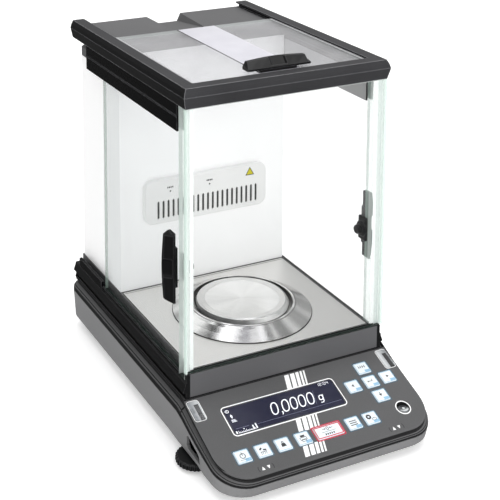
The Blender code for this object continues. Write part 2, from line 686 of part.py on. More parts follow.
# larger components: centre x, centre y, width, depth, height above the board
BOARD_PARTS = ((-60, 104, 22, 22, 6), (-58, 140, 14, 30, 9), (-20, 120, 26, 26, 4),
               (10, 100, 12, 12, 3), (40, 116, 18, 30, 14), (66, 104, 10, 20, 12))


def build_main_board():
    board = finish("main_board", solid(add_box, -84, 84, 88, 162, BOARD_Z0, BOARD_Z1), BOARD)
    bm = bmesh.new()
    for cx, cy, w, d, h in BOARD_PARTS:
        add_box(bm, cx - w / 2, cx + w / 2, cy - d / 2, cy + d / 2, 16.0, BOARD_Z1 + h)
    join(board, "board_parts", bm)


build_main_board()

# ---------------------------------------------------------------- rear sockets
POWER_BORE_R, POWER_BORE_Y = 4.2, 168.0
POWER_PIN_R, POWER_PIN_Y, POWER_PIN_L = 1.3, 167.0, 8.5
# opening of the data port: x, z
PORT_OPENING = [(20.6, 20.8), (37.4, 20.8), (39.0, 29.2), (19.0, 29.2)]


def build_power_socket():
    def rod(radius, steps, y0, depth):
        return solid(add_prism, circle(radius, steps, POWER_X, POWER_Z), along_y(y0), depth)

    socket = finish("power_socket", rod(POWER_R, 24, SOCKET_Y, SOCKET_DEPTH), BLACK, smooth=40)
    cut(socket, "power_bore_cutter", rod(POWER_BORE_R, 24, POWER_BORE_Y, 14.0))
    join(socket, "power_pin", rod(POWER_PIN_R, 12, POWER_PIN_Y, POWER_PIN_L))


def build_data_port():
    port = finish("data_port",
                  solid(add_prism, port_outline(0), along_y(SOCKET_Y), SOCKET_DEPTH), STEEL)
    cut(port, "port_cutter", solid(add_prism, PORT_OPENING, along_y(171.0), 10.0))


build_power_socket()
build_data_port()

# ---------------------------------------------------------------- front glass and corners
FRONT_GLASS_HALF_W, FRONT_GLASS_REAR = 100.0, -84.3
CORNER_X0, CORNER_Y0, CORNER_Y1 = 95.4, -83.6, -71.7


def build_front_glass():
    bm = solid(add_box, -FRONT_GLASS_HALF_W, FRONT_GLASS_HALF_W, PANEL_FOOT_Y,
               FRONT_GLASS_REAR, PLINTH_TOP + GAP, FRAME_BOTTOM - GAP)
    bevel(finish("front_glass", bm, GLASS), width=0.5, segments=1)


def build_corner_glass(name, side):
    bm = solid(add_box, *side_span(side, CORNER_X0, FRONT_GLASS_HALF_W), CORNER_Y0, CORNER_Y1,
               LEDGE_Z + GAP, FRAME_BOTTOM - GAP)
    bevel(finish("corner_glass_" + name, bm, GLASS), width=0.5, segments=1)


build_front_glass()
for side_name, side_sign in SIDES:
    build_corner_glass(side_name, side_sign)

# ---------------------------------------------------------------- top frame and guides
FRAME_HALF_W = 101.0         # nominal outer planes of the top frame
# section of the frame: inward offset from the nominal outer plane, z
FRAME_PROFILE = [
    (0.0, FRAME_TOP), (-1.8, 325.6), (-3.0, 321.6), (-2.4, 318.8), (-0.6, FRAME_BOTTOM),
    (6.4, FRAME_BOTTOM), (6.4, 317.6), (12.0, 317.6), (12.0, 323.5), (8.5, 323.5),
    (8.5, 327.3), (12.0, 327.3), (12.0, FRAME_TOP),
]
UPPER_GUIDE_Z0, UPPER_GUIDE_Z1 = 286.5, 311.0
# channel, open below, in which a side door runs: distance from the middle, z
UPPER_GUIDE = [
    (92.4, UPPER_GUIDE_Z0), (92.4, UPPER_GUIDE_Z1), (100.4, UPPER_GUIDE_Z1), (100.4, 300.6),
    (100.8, 300.2), (100.8, 299.2), (100.2, 298.6), (100.2, UPPER_GUIDE_Z0),
    (98.4, UPPER_GUIDE_Z0), (98.4, 307.0), (94.0, 307.0), (94.0, UPPER_GUIDE_Z0),
]
UPPER_GUIDE_Y, UPPER_GUIDE_L = -69.3, 209.3
# channel, open above: distance from the middle, z
LOWER_GUIDE = [
    (93.2, LEDGE_Z + GAP), (93.2, 69.6), (94.1, 69.6), (94.1, 68.3),
    (98.3, 68.3), (98.3, 70.0), (99.9, 70.0), (100.0, LEDGE_Z + GAP),
]
LOWER_GUIDE_Y, LOWER_GUIDE_L = -71.0, 235.0


def build_top_frame():
    """Section swept along a U in plan that is open to the rear, with mitred corners."""
    rows = []
    for side, at_rear in ((-1, True), (-1, False), (1, False), (1, True)):
        rows.append([(side * (FRAME_HALF_W - s), COLUMN_REAR if at_rear else PANEL_FOOT_Y + s, z)
                     for s, z in FRAME_PROFILE])
    finish("top_frame", solid(add_loft, rows), GREY)


def build_guides(name, side):
    def rail(section, y0, length):
        return solid(add_prism, section, lambda u, v, w: (side * u, y0 + w, v), length)

    finish("upper_guide_" + name, rail(UPPER_GUIDE, UPPER_GUIDE_Y, UPPER_GUIDE_L), BLACK)
    guide = finish("lower_guide_" + name, rail(LOWER_GUIDE, LOWER_GUIDE_Y, LOWER_GUIDE_L), BLACK)
    join(guide, "guide_block_" + name,
         solid(add_box, *side_span(side, 98.5, 101.4), 103.5, LOWER_GUIDE_Y + LOWER_GUIDE_L,
               67.6, 76.0))


build_top_frame()
for side_name, side_sign in SIDES:
    build_guides(side_name, side_sign)

# ---------------------------------------------------------------- door handles
HANDLE_HALF_W = 5.5
HANDLE_LOW, HANDLE_MID = 2.3, 4.4   # underside and top of the low front edge
# half of the crest, from the end to the middle: distance from the middle, height
HANDLE_STATIONS = ((31.75, 5.6), (29.4, 9.8), (18.0, 10.7), (9.0, 11.2), (0.0, 11.4))
# section of the finger scoop: x, distance out of the finger face
SCOOP_OUTLINE = [(-10.0, 4.0), (-8.6, 0.0), (-7.2, -2.0), (-5.4, -2.6), (5.4, -2.6),
                 (7.2, -2.0), (8.6, 0.0), (10.0, 4.0)]


def handle_grip():
    """Wedge grip: X along, Z away from the glass.  Its finger face slopes back from a low
    front edge, its crest is bowed, and its ends taper."""
    stations = [(-x, h) for x, h in HANDLE_STATIONS] + list(HANDLE_STATIONS[-2::-1])
    rows = []
    for x, h in stations:
        mid = min(HANDLE_MID, h - 0.3)
        rows.append([(x, -HANDLE_HALF_W + 0.6, HANDLE_LOW),
                     (x, -HANDLE_HALF_W, HANDLE_LOW + 0.6),
                     (x, -HANDLE_HALF_W, mid), (x, 1.0, h), (x, HANDLE_HALF_W - 0.8, h),
                     (x, HANDLE_HALF_W, h - 0.8), (x, HANDLE_HALF_W, HANDLE_LOW)])
    return solid(add_loft, rows)


def handle_scoop():
    """Shallow trough that runs up the finger face and out over the crest."""
    up = Vector((0.0, 6.5, 7.0)).normalized()
    out = Vector((0.0, -up.z, up.y))
    foot = Vector((0.0, -HANDLE_HALF_W, HANDLE_MID))
    return solid(add_prism, SCOOP_OUTLINE,
                 lambda u, v, w: Vector((u, 0, 0)) + foot + out * v + up * (1.5 + w), 14.0)


def build_handle(name, place, rotation):
    """Grip on a pedestal; `place` is the foot of the pedestal on the glass."""
    handle = finish(name + "_door_handle", handle_grip(), BLACK, smooth=30)
    pedestal = join(handle, "pedestal_" + name, solid(add_box, -18, 18, -4.2, 4.2, 0.0, 3.0))
    scoop = cut(handle, "scoop_" + name, handle_scoop())
    for obj in (handle, pedestal, scoop):
        obj.location = (Vector(place) + SHIFT) * MM
        obj.rotation_euler = rotation


# ---------------------------------------------------------------- side doors
DOOR_GLASS_X0, DOOR_GLASS_X1 = 94.6, 97.8
DOOR_Y0, DOOR_Y1 = -69.0, 102.0
DOOR_Z0, DOOR_Z1 = 68.6, 305.5
SIDE_HANDLE_Y, SIDE_HANDLE_Z = -61.8, 162.5
CLAMP_X1 = DOOR_GLASS_X0 - GAP
CLAMP_T = 3.0
CLAMP_Y0, CLAMP_Y1, CLAMP_Z0, CLAMP_Z1 = -74.0, -62.0, 152.0, 174.5
KNOB_Y, KNOB_Z = -67.8, 163.0
# knob of the clamp: radius, distance inward from the clamp's face on the glass
KNOB_PROFILE = ((7.0, 1.0), (7.4, 3.6), (6.6, 4.4), (4.6, 4.6), (4.3, 8.6), (3.6, 9.4))


def build_door_glass(name, side):
    bm = solid(add_box, *side_span(side, DOOR_GLASS_X0, DOOR_GLASS_X1),
               DOOR_Y0, DOOR_Y1, DOOR_Z0, DOOR_Z1)
    middle = side * (DOOR_GLASS_X0 + DOOR_GLASS_X1) / 2
    glass = finish(name + "_door_glass", bm, GLASS, origin=(middle, DOOR_Y0, DOOR_Z0))
    bevel(glass, width=0.4, segments=1)


def build_door_clamp(name, side):
    """Block on the inner face of the glass with a small round knob."""
    bm = solid(add_box, *side_span(side, CLAMP_X1 - CLAMP_T, CLAMP_X1),
               CLAMP_Y0, CLAMP_Y1, CLAMP_Z0, CLAMP_Z1)
    clamp = finish(name + "_door_clamp", bm, BLACK)
    bevel(clamp, width=1.0, segments=2)
    rows = [[(side * (CLAMP_X1 - t), y, z) for y, z in circle(r, 20, KNOB_Y, KNOB_Z)]
            for r, t in KNOB_PROFILE]
    join(clamp, "knob_" + name, solid(add_loft, rows))


def build_side_door(name, side):
    build_door_glass(name, side)
    # the grip's length stands upright, its finger face looks to the front
    build_handle(name, (side * (DOOR_GLASS_X1 + GAP), SIDE_HANDLE_Y, SIDE_HANDLE_Z),
                 Matrix(((0, 0, side), (0, 1, 0), (-side, 0, 0))).to_euler())
    build_door_clamp(name, side)


for side_name, side_sign in SIDES:
    build_side_door(side_name, side_sign)

# ---------------------------------------------------------------- top door
TOP_GLASS_HALF_W, TOP_GLASS_FRONT, TOP_GLASS_REAR = 92.2, -79.2, 98.0
TOP_GLASS_Z0, TOP_GLASS_Z1 = 323.9, 326.9
TOP_HANDLE_Y = -65.0


def build_top_door():
    bm = solid(add_box, -TOP_GLASS_HALF_W, TOP_GLASS_HALF_W, TOP_GLASS_FRONT, TOP_GLASS_REAR,
               TOP_GLASS_Z0, TOP_GLASS_Z1)
    glass = finish("top_door_glass", bm, GLASS, origin=(0, TOP_GLASS_FRONT, TOP_GLASS_Z0))
    bevel(glass, width=0.4, segments=1)
    build_handle("top", (0, TOP_HANDLE_Y, TOP_GLASS_Z1 + GAP), (0, 0, 0))


build_top_door()

# ---------------------------------------------------------------- rear housing
REAR_COVER_T = 2.6
CHEEK_REAR = COLUMN_REAR - REAR_COVER_T - GAP
VENT_COUNT, VENT_Z0, VENT_PITCH, VENT_H = 9, 210.0, 7.0, 3.0
LID_HALF_W = 88.4
# recess in the lid, its floor rising towards the front: x, y, z
RECESS_FLOOR = ((-18.0, 106.0, 323.0), (17.0, 106.0, 323.0),
                (17.0, 180.0, 314.5), (-18.0, 180.0, 314.5))
RECESS_MOUTH = ((-18.5, 106.0, 330.0), (21.5, 106.0, 330.0),
                (24.5, 180.0, 330.0), (-18.5, 180.0, 330.0))
IONISER_T = 7.0
SLOT_COUNT, SLOT_X0, SLOT_PITCH, SLOT_HALF_W = 21, -53.9, 5.47, 1.15


def build_rear_wall():
    """White wall of the chamber with side cheeks, open at the rear."""
    inner = COLUMN_HALF_W - WALL
    section = [(-COLUMN_HALF_W, COLUMN_FRONT), (COLUMN_HALF_W, COLUMN_FRONT),
               (COLUMN_HALF_W, CHEEK_REAR), (inner, CHEEK_REAR),
               (inner, COLUMN_FRONT + WALL), (-inner, COLUMN_FRONT + WALL),
               (-inner, CHEEK_REAR), (-COLUMN_HALF_W, CHEEK_REAR)]
    wall = finish("rear_wall", solid(add_prism, section, along_z(PLINTH_TOP + GAP),
                                     COLUMN_TOP - PLINTH_TOP - GAP), WHITE)
    cut(wall, "wall_window_cutter",
        solid(add_prism, rounded(-60, 60, 152, 178, 3.0, 2), along_y(70.0), 12.0))


def build_rear_cover():
    """Plate that closes the column, with a stack of vent slots."""
    bm = solid(add_box, -COLUMN_HALF_W, COLUMN_HALF_W, COLUMN_REAR - REAR_COVER_T, COLUMN_REAR,
               PLINTH_TOP + GAP, COLUMN_TOP)
    cover = finish("rear_cover", bm, WHITE)
    bm = bmesh.new()
    for k in range(VENT_COUNT):
        z = VENT_Z0 + VENT_PITCH * k
        add_prism(bm, rounded(-45, 45, z, z + VENT_H, 1.3, 2), along_y(168.0), 10.0)
    cut(cover, "rear_vent_cutter", bm)


def build_top_rear_cover():
    """Grey cover over the rear housing: a cap below, a raised lid between the rails."""
    half = [(COLUMN_HALF_W, COLUMN_TOP + GAP), (COLUMN_HALF_W, 300.5),
            (LID_HALF_W, 302.5), (LID_HALF_W, 323.5)]
    bm = solid(add_prism, mirrored(half), along_y(COLUMN_FRONT), COLUMN_REAR - COLUMN_FRONT)
    cover = finish("top_rear_cover", bm, GREY)
    half = [(COLUMN_HALF_W - WALL, 280.0), (COLUMN_HALF_W - WALL, 299.0),
            (LID_HALF_W - WALL, 301.5), (LID_HALF_W - WALL, 312.0)]
    cut(cover, "lid_void_cutter",
        solid(add_prism, mirrored(half), along_y(COLUMN_FRONT + WALL),
              COLUMN_REAR - COLUMN_FRONT - 2 * WALL))
    cut(cover, "lid_recess_cutter", solid(add_loft, [RECESS_FLOOR, RECESS_MOUTH]))


def build_ioniser():
    """Rounded box on the chamber side of the wall, with a row of slots."""
    bm = solid(add_prism, rounded(-68.0, 68.0, 141.0, 185.6, 9.0, 5),
               along_y(COLUMN_FRONT - GAP - IONISER_T), IONISER_T)
    ioniser = finish("ioniser_housing", bm, WHITE, smooth=30)
    bevel(ioniser, width=1.2, segments=2)
    bm = bmesh.new()
    for k in range(SLOT_COUNT):
        x = SLOT_X0 + SLOT_PITCH * k
        add_prism(bm, rounded(x - SLOT_HALF_W, x + SLOT_HALF_W, 146.2, 164.4, 1.0, 1),
                  along_y(60.0), 20.0)
    cut(ioniser, "slot_cutter", bm)


build_rear_wall()
build_rear_cover()
build_top_rear_cover()
build_ioniser()
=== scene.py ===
import math

import bmesh
import bpy
import numpy as np
from mathutils import Matrix, Vector, noise


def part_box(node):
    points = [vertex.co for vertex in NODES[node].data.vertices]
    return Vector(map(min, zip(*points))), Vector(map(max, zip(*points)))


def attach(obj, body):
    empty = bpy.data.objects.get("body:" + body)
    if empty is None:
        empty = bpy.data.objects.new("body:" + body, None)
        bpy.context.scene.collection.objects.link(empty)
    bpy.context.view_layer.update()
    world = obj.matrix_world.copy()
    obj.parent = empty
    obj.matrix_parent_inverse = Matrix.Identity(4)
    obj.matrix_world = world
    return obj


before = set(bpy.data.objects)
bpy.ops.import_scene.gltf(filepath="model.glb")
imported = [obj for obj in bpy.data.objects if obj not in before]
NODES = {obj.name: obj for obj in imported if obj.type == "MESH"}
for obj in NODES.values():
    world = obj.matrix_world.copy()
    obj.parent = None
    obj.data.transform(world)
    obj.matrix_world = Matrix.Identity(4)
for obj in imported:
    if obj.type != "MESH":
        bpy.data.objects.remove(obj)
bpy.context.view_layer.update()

scene = bpy.context.scene
for junk in ("Cube", "Light", "Camera"):
    o = bpy.data.objects.get(junk)
    if o is not None:
        bpy.data.objects.remove(o)

MM = 0.001
pan_lo, pan_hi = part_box("weighing_pan")
SHIFT_Y = (pan_lo.y + pan_hi.y) / 2 + 0.004      # the part's frame against the drawing

# ------------------------------------------------------------------ node helpers


class Nodes:
    """A small builder for node materials."""

    def __init__(self, name):
        self.mat = bpy.data.materials.new(name)
        self.mat.use_nodes = True
        self.tree = self.mat.node_tree
        self.tree.nodes.clear()
        self.out = self.add("ShaderNodeOutputMaterial")
        self.coord = self.add("ShaderNodeTexCoord").outputs["Object"]

    def add(self, kind, **props):
        n = self.tree.nodes.new(kind)
        for k, v in props.items():
            setattr(n, k, v)
        return n

    def put(self, socket, value):
        if hasattr(value, "is_output"):
            self.tree.links.new(value, socket)
        elif isinstance(value, (tuple, list)) and len(value) == 3 and socket.type == "RGBA":
            socket.default_value = (*value, 1.0)
        else:
            socket.default_value = value

    def noise(self, scale, detail=2.0, rough=0.5, vector=None, stretch=None, distortion=0.0):
        v = vector if vector is not None else self.coord
        if stretch is not None:
            m = self.add("ShaderNodeMapping")
            self.put(m.inputs["Vector"], v)
            m.inputs["Scale"].default_value = stretch
            v = m.outputs["Vector"]
        n = self.add("ShaderNodeTexNoise")
        self.put(n.inputs["Vector"], v)
        n.inputs["Scale"].default_value = scale
        n.inputs["Detail"].default_value = detail
        n.inputs["Roughness"].default_value = rough
        n.inputs["Distortion"].default_value = distortion
        return n.outputs["Fac"]

    def math(self, op, a, b=0.0, clamp=False):
        n = self.add("ShaderNodeMath", operation=op, use_clamp=clamp)
        self.put(n.inputs[0], a)
        self.put(n.inputs[1], b)
        return n.outputs[0]

    def span(self, value, a, b, c, d):
        n = self.add("ShaderNodeMapRange")
        self.put(n.inputs["Value"], value)
        for k, v in (("From Min", a), ("From Max", b), ("To Min", c), ("To Max", d)):
            n.inputs[k].default_value = v
        return n.outputs["Result"]

    def mix(self, fac, a, b):
        n = self.add("ShaderNodeMix", data_type="RGBA")
        self.put(n.inputs[0], fac)
        self.put(n.inputs[6], a)
        self.put(n.inputs[7], b)
        return n.outputs[2]

    def bump(self, height, strength, distance, normal=None):
        n = self.add("ShaderNodeBump")
        n.inputs["Strength"].default_value = strength
        n.inputs["Distance"].default_value = distance
        self.put(n.inputs["Height"], height)
        if normal is not None:
            self.put(n.inputs["Normal"], normal)
        return n.outputs["Normal"]

    def bevel(self, radius):
        n = self.add("ShaderNodeBevel", samples=4)
        n.inputs["Radius"].default_value = radius
        return n.outputs["Normal"]

    def principled(self, color, rough, metallic=0.0, normal=None, **extra):
        n = self.add("ShaderNodeBsdfPrincipled")
        self.put(n.inputs["Base Color"], color)
        self.put(n.inputs["Roughness"], rough)
        self.put(n.inputs["Metallic"], metallic)
        if normal is not None:
            self.put(n.inputs["Normal"], normal)
        for k, v in extra.items():
            self.put(n.inputs[k.replace("_", " ")], v)
        return n.outputs[0]

    def done(self, shader):
        self.tree.links.new(shader, self.out.inputs["Surface"])
        return self.mat


def rgb(h):
    """sRGB hex to linear."""
    c = [int(h[i:i + 2], 16) / 255 for i in (0, 2, 4)]
    return tuple(v / 12.92 if v <= 0.04045 else ((v + 0.055) / 1.055) ** 2.4 for v in c)


def shade(c, k):
    return tuple(min(v * k, 1.0) for v in c)


def moulded(name, color, rough, grain=1500.0, bump=0.35, edge=0.0, spread=0.10, sheen=0.30, zones=None, edge_highlight=0.0,
            edge_highlight_color=(0.13, 0.13, 0.135), edge_highlight_at=0.995):
    """Spark-eroded moulded plastic: fine grain, faint flow clouds, softened edges, and optionally a painted highlight
    along them.
    `zones(m, base)` may paint shade or light onto parts of the piece."""
    m = Nodes(name)
    cloud = m.noise(9.0, 3.0, 0.55)
    fine = m.noise(grain, 2.0, 0.6)
    dust = m.noise(grain * 0.23, 4.0, 0.7)
    base = m.mix(m.span(cloud, 0.3, 0.7, 0.0, 1.0), shade(color, 1 - spread), shade(color, 1 + spread))
    base = m.mix(m.span(fine, 0.42, 0.75, 0.0, 0.35), base, shade(color, 1.45))
    base = m.mix(m.span(dust, 0.60, 0.80, 0.0, 0.10), base, shade(color, 2.2))
    if zones:
        base = zones(m, base)
    r = m.span(fine, 0.3, 0.7, rough - 0.07, rough + 0.07)
    r = m.math("ADD", r, m.span(cloud, 0.3, 0.7, -0.03, 0.03))
    soft = m.bevel(edge) if edge else None
    if edge_highlight:
        # painted highlight along the edges, where the bevelled normal turns from the true one
        geo = m.add("ShaderNodeNewGeometry")
        dot = m.add("ShaderNodeVectorMath", operation="DOT_PRODUCT")
        m.put(dot.inputs[0], soft)
        m.put(dot.inputs[1], geo.outputs["True Normal"])
        base = m.mix(m.span(dot.outputs["Value"], edge_highlight_at - 0.095, edge_highlight_at, edge_highlight, 0.0), base, edge_highlight_color)
    n = m.bump(fine, bump, 0.00006, soft)
    return m.done(m.principled(base, r, 0.0, n, Specular_IOR_Level=sheen))


def powder(name, color, rough):
    """Powder-coated sheet metal: orange peel over a fine grain."""
    m = Nodes(name)
    peel = m.noise(420.0, 2.0, 0.5)
    cloud = m.noise(7.0, 2.0, 0.5)
    base = m.mix(m.span(cloud, 0.3, 0.7, 0.0, 1.0), shade(color, 0.97), shade(color, 1.01))
    base = m.mix(m.span(peel, 0.3, 0.7, 0.0, 0.25), base, shade(color, 0.93))
    n = m.bump(peel, 0.12, 0.00006, m.bevel(0.0005))
    # a faint glow in the coat's own colour: painted light that brightens the white
    return m.done(m.principled(base, m.span(peel, 0.3, 0.7, rough - 0.06, rough + 0.06), 0.0, n,
                               Specular_IOR_Level=0.3, Emission_Color=color, Emission_Strength=0.19))


def brushed(name, color, rough, stretch=(1.0, 90.0, 90.0), scale=30.0, bump=0.25, spread=0.10):
    """Linear brushed metal: grain lines run along X."""
    m = Nodes(name)
    lines = m.noise(scale, 3.0, 0.65, stretch=stretch)
    hair = m.noise(scale * 4, 2.0, 0.6, stretch=stretch)
    blot = m.noise(16.0, 2.0, 0.5)
    base = m.mix(m.span(lines, 0.3, 0.7, 0.0, 1.0), shade(color, 1 - spread), shade(color, 1 + spread))
    base = m.mix(m.span(hair, 0.45, 0.75, 0.0, 0.4), base, shade(color, 0.8))
    base = m.mix(m.span(blot, 0.35, 0.7, 0.0, 0.14), base, shade(color, 0.86))
    r = m.span(lines, 0.3, 0.7, rough - 0.06, rough + 0.08)
    return m.done(m.principled(base, r, 1.0, m.bump(m.math("ADD", lines, hair), bump, 0.00002)))


def turned(name, color, rough, cx, cy, bump=0.3, spread=0.10, painted_reflection=0.0, pitch=900.0, zones=None, wobble=0.06, turn=0.0):
    """Metal turned on a lathe: fine concentric lines about a vertical axis, with optional painted reflection sectors.
    """
    m = Nodes(name)
    sep = m.add("ShaderNodeSeparateXYZ")
    m.put(sep.inputs[0], m.coord)
    x = m.math("SUBTRACT", sep.outputs[0], cx)
    y = m.math("SUBTRACT", sep.outputs[1], cy)
    rad = m.math("SQRT", m.math("ADD", m.math("MULTIPLY", x, x), m.math("MULTIPLY", y, y)))
    ang = m.math("ARCTAN2", y, x)
    comb = m.add("ShaderNodeCombineXYZ")
    m.put(comb.inputs[0], m.math("MULTIPLY", rad, pitch))
    m.put(comb.inputs[1], m.math("MULTIPLY", ang, 0.9))
    m.put(comb.inputs[2], m.math("MULTIPLY", sep.outputs[2], pitch * 0.6))
    lines = m.noise(1.0, 3.0, 0.65, vector=comb.outputs[0])
    fan = m.add("ShaderNodeCombineXYZ")
    swept = m.math("ADD", ang, turn)
    m.put(fan.inputs[0], m.math("MULTIPLY", m.math("SINE", swept), 2.2))
    m.put(fan.inputs[1], m.math("MULTIPLY", m.math("COSINE", swept), 2.2))
    reflection_fan = m.noise(1.0, 1.0, 0.5, vector=fan.outputs[0])
    base = m.mix(m.span(lines, 0.3, 0.7, 0.0, 1.0), shade(color, 1 - spread), shade(color, 1 + spread))
    if zones:
        base = zones(m, base, rad)
    # painted reflection: broad dark sectors swept round the axis
    if painted_reflection:
        base = m.mix(m.span(reflection_fan, 0.38, 0.62, 0.0, painted_reflection), base, shade(color, 0.35))
    r = m.span(lines, 0.3, 0.7, rough - wobble, rough + wobble)
    # a true surface of revolution: the normal turns with the angle, not with the facets
    geo = m.add("ShaderNodeNewGeometry")
    flat = m.add("ShaderNodeSeparateXYZ")
    m.put(flat.inputs[0], geo.outputs["True Normal"])
    rx, ry = m.math("DIVIDE", x, rad), m.math("DIVIDE", y, rad)
    outward = m.math("ADD", m.math("MULTIPLY", flat.outputs[0], rx), m.math("MULTIPLY", flat.outputs[1], ry))
    level = m.math("SUBTRACT", 1.0, m.math("MULTIPLY", flat.outputs[2], flat.outputs[2]), True)
    reach = m.math("MULTIPLY", m.math("SIGN", outward), m.math("SQRT", level))
    lathe = m.add("ShaderNodeCombineXYZ")
    m.put(lathe.inputs[0], m.math("MULTIPLY", rx, reach))
    m.put(lathe.inputs[1], m.math("MULTIPLY", ry, reach))
    m.put(lathe.inputs[2], flat.outputs[2])
    s = m.principled(base, r, 1.0, m.bump(lines, bump, 0.00002, lathe.outputs[0]), Anisotropic=0.55)
    bsdf = s.node
    tan = m.add("ShaderNodeTangent", direction_type="RADIAL", axis="Z")
    m.put(bsdf.inputs["Tangent"], tan.outputs[0])
    return m.done(s)


def glass(name, edge_axis, edge_color, haze=0.0, tint=(0.995, 0.998, 0.997), edge_alpha=0.5, mirror=0.7):
    """Thin float glass: clear faces with a mirror film, greenish ground edges.
    `edge_axis` is the axis across the sheet (0, 1 or 2)."""
    m = Nodes(name)
    geo = m.add("ShaderNodeNewGeometry")
    sep = m.add("ShaderNodeSeparateXYZ")
    m.put(sep.inputs[0], geo.outputs["True Normal"])
    across = m.math("ABSOLUTE", sep.outputs[edge_axis])
    is_edge = m.math("LESS_THAN", across, 0.9)
    smear = m.noise(26.0, 4.0, 0.6, stretch=(1.0, 1.0, 0.35))
    clear = m.add("ShaderNodeBsdfTransparent")
    m.put(clear.inputs["Color"], m.mix(m.span(smear, 0.4, 0.8, 0.0, 1.0), tint, shade(tint, 0.985)))
    gloss = m.add("ShaderNodeBsdfGlossy")
    m.put(gloss.inputs["Color"], (1.0, 1.0, 1.0))
    m.put(gloss.inputs["Roughness"], m.span(smear, 0.4, 0.75, 0.02, 0.07))
    # Schlick's curve, the same on both faces of the sheet
    dot = m.add("ShaderNodeVectorMath", operation="DOT_PRODUCT")
    m.put(dot.inputs[0], geo.outputs["Incoming"])
    m.put(dot.inputs[1], geo.outputs["Normal"])
    graze = m.math("SUBTRACT", 1.0, m.math("ABSOLUTE", dot.outputs["Value"]), True)
    fres = m.math("ADD", m.math("MULTIPLY", m.math("POWER", graze, 5.0), 0.96), 0.04)
    face = m.add("ShaderNodeMixShader")
    m.put(face.inputs[0], m.math("MULTIPLY", fres, mirror))
    m.put(face.inputs[1], clear.outputs[0])
    m.put(face.inputs[2], gloss.outputs[0])
    if haze:
        # a thin film of scattered light on the sheet
        veil = m.add("ShaderNodeBsdfDiffuse")
        m.put(veil.inputs["Color"], m.mix(m.span(smear, 0.35, 0.7, 0.0, 1.0), (0.90, 0.90, 0.92), (0.96, 0.96, 0.97)))
        hz = m.add("ShaderNodeMixShader")
        m.put(hz.inputs[0], m.span(smear, 0.35, 0.7, haze * 0.8, haze * 1.2))
        m.put(hz.inputs[1], face.outputs[0])
        m.put(hz.inputs[2], veil.outputs[0])
        face = hz
    ground = m.noise(900.0, 3.0, 0.6)
    edge_col = m.mix(m.span(ground, 0.3, 0.7, 0.0, 1.0), shade(edge_color, 0.93), shade(edge_color, 1.05))
    # the bottom edge sits in a black channel
    place = m.add("ShaderNodeSeparateXYZ")
    m.put(place.inputs[0], m.coord)
    seat = m.math("MULTIPLY", m.math("GREATER_THAN", m.math("ABSOLUTE", sep.outputs[2]), 0.5),
                  m.math("LESS_THAN", place.outputs[2], 0.2))
    edge_col = m.mix(seat, edge_col, rgb("10221b"))
    # the ground edges glow faintly in their own colour, painted light, except where seated
    edge = m.principled(edge_col, 0.25, 0.0, m.bump(ground, 0.2, 0.00003),
                        Emission_Color=m.mix(seat, edge_color, (0.0, 0.0, 0.0)), Emission_Strength=0.15)
    through = m.add("ShaderNodeBsdfTransparent")
    m.put(through.inputs["Color"], (0.968, 0.985, 0.979))
    ed = m.add("ShaderNodeMixShader")
    m.put(ed.inputs[0], m.math("ADD", m.math("MULTIPLY", seat, 0.95 - edge_alpha), edge_alpha))
    m.put(ed.inputs[1], through.outputs[0])
    m.put(ed.inputs[2], edge)
    both = m.add("ShaderNodeMixShader")
    m.put(both.inputs[0], is_edge)
    m.put(both.inputs[1], face.outputs[0])
    m.put(both.inputs[2], ed.outputs[0])
    return m.done(both.outputs[0])


def ink(name, color, rough=0.55, glow=0.0):
    """Screen-printed ink with a faintly uneven film."""
    m = Nodes(name)
    film = m.noise(1100.0, 3.0, 0.6)
    base = m.mix(m.span(film, 0.3, 0.7, 0.0, 1.0), shade(color, 0.94), shade(color, 1.03))
    extra = {"Emission_Color": color, "Emission_Strength": glow} if glow else {}
    return m.done(m.principled(base, m.span(film, 0.3, 0.7, rough - 0.05, rough + 0.05), 0.0,
                               m.bump(film, 0.15, 0.00002), **extra))


# ------------------------------------------------------------------ materials


def cover_zones(m, base):
    """Cover zones: grey top faces, painted shade on the steep faces low down, a lighter painted band on the higher
    faces turned to the front, and painted near-black shade on the plinth's sides.
    """
    geo = m.add("ShaderNodeNewGeometry")
    nrm = m.add("ShaderNodeSeparateXYZ")
    m.put(nrm.inputs[0], geo.outputs["True Normal"])
    pos = m.add("ShaderNodeSeparateXYZ")
    m.put(pos.inputs[0], m.coord)
    # painted shade: the steep faces low on the cover are darkened
    steep = m.math("LESS_THAN", nrm.outputs[2], 0.55)
    low = m.math("LESS_THAN", pos.outputs[2], 0.0529)
    base = m.mix(m.math("MULTIPLY", steep, low), base, rgb("1f1f20"))
    # painted light: the higher faces turned to the front are a lighter grey
    band = m.math("MULTIPLY", m.math("LESS_THAN", nrm.outputs[1], -0.8), m.math("GREATER_THAN", pos.outputs[2], 0.0529))
    base = m.mix(band, base, rgb("606062"))
    # painted shade: the plinth's sides are near-black, with a fine fleck
    side = m.math("GREATER_THAN", m.math("ABSOLUTE", pos.outputs[0]), 0.0969)
    high = m.math("GREATER_THAN", pos.outputs[2], 0.0526)
    plinth_side_shade = m.math("MULTIPLY", m.math("MULTIPLY", side, high), m.math("LESS_THAN", nrm.outputs[1], 0.5))
    fleck = m.span(m.noise(900.0, 2.0, 0.6), 0.3, 0.8, 0.0, 1.0)
    base = m.mix(plinth_side_shade, base, m.mix(fleck, rgb("0c0c0d"), rgb("1a1a1b")))
    # painted shadow in the groove where the plinth meets the panel
    foot = m.math("MULTIPLY", m.math("GREATER_THAN", pos.outputs[1], PANEL_FOOT - 0.0010),
                  m.math("LESS_THAN", pos.outputs[2], 0.0536))
    foot = m.math("MULTIPLY", foot, m.math("LESS_THAN", pos.outputs[1], PANEL_FOOT + 0.0006))
    return m.mix(foot, base, rgb("0c0c0d"))


PANEL_FOOT = -0.088 + SHIFT_Y


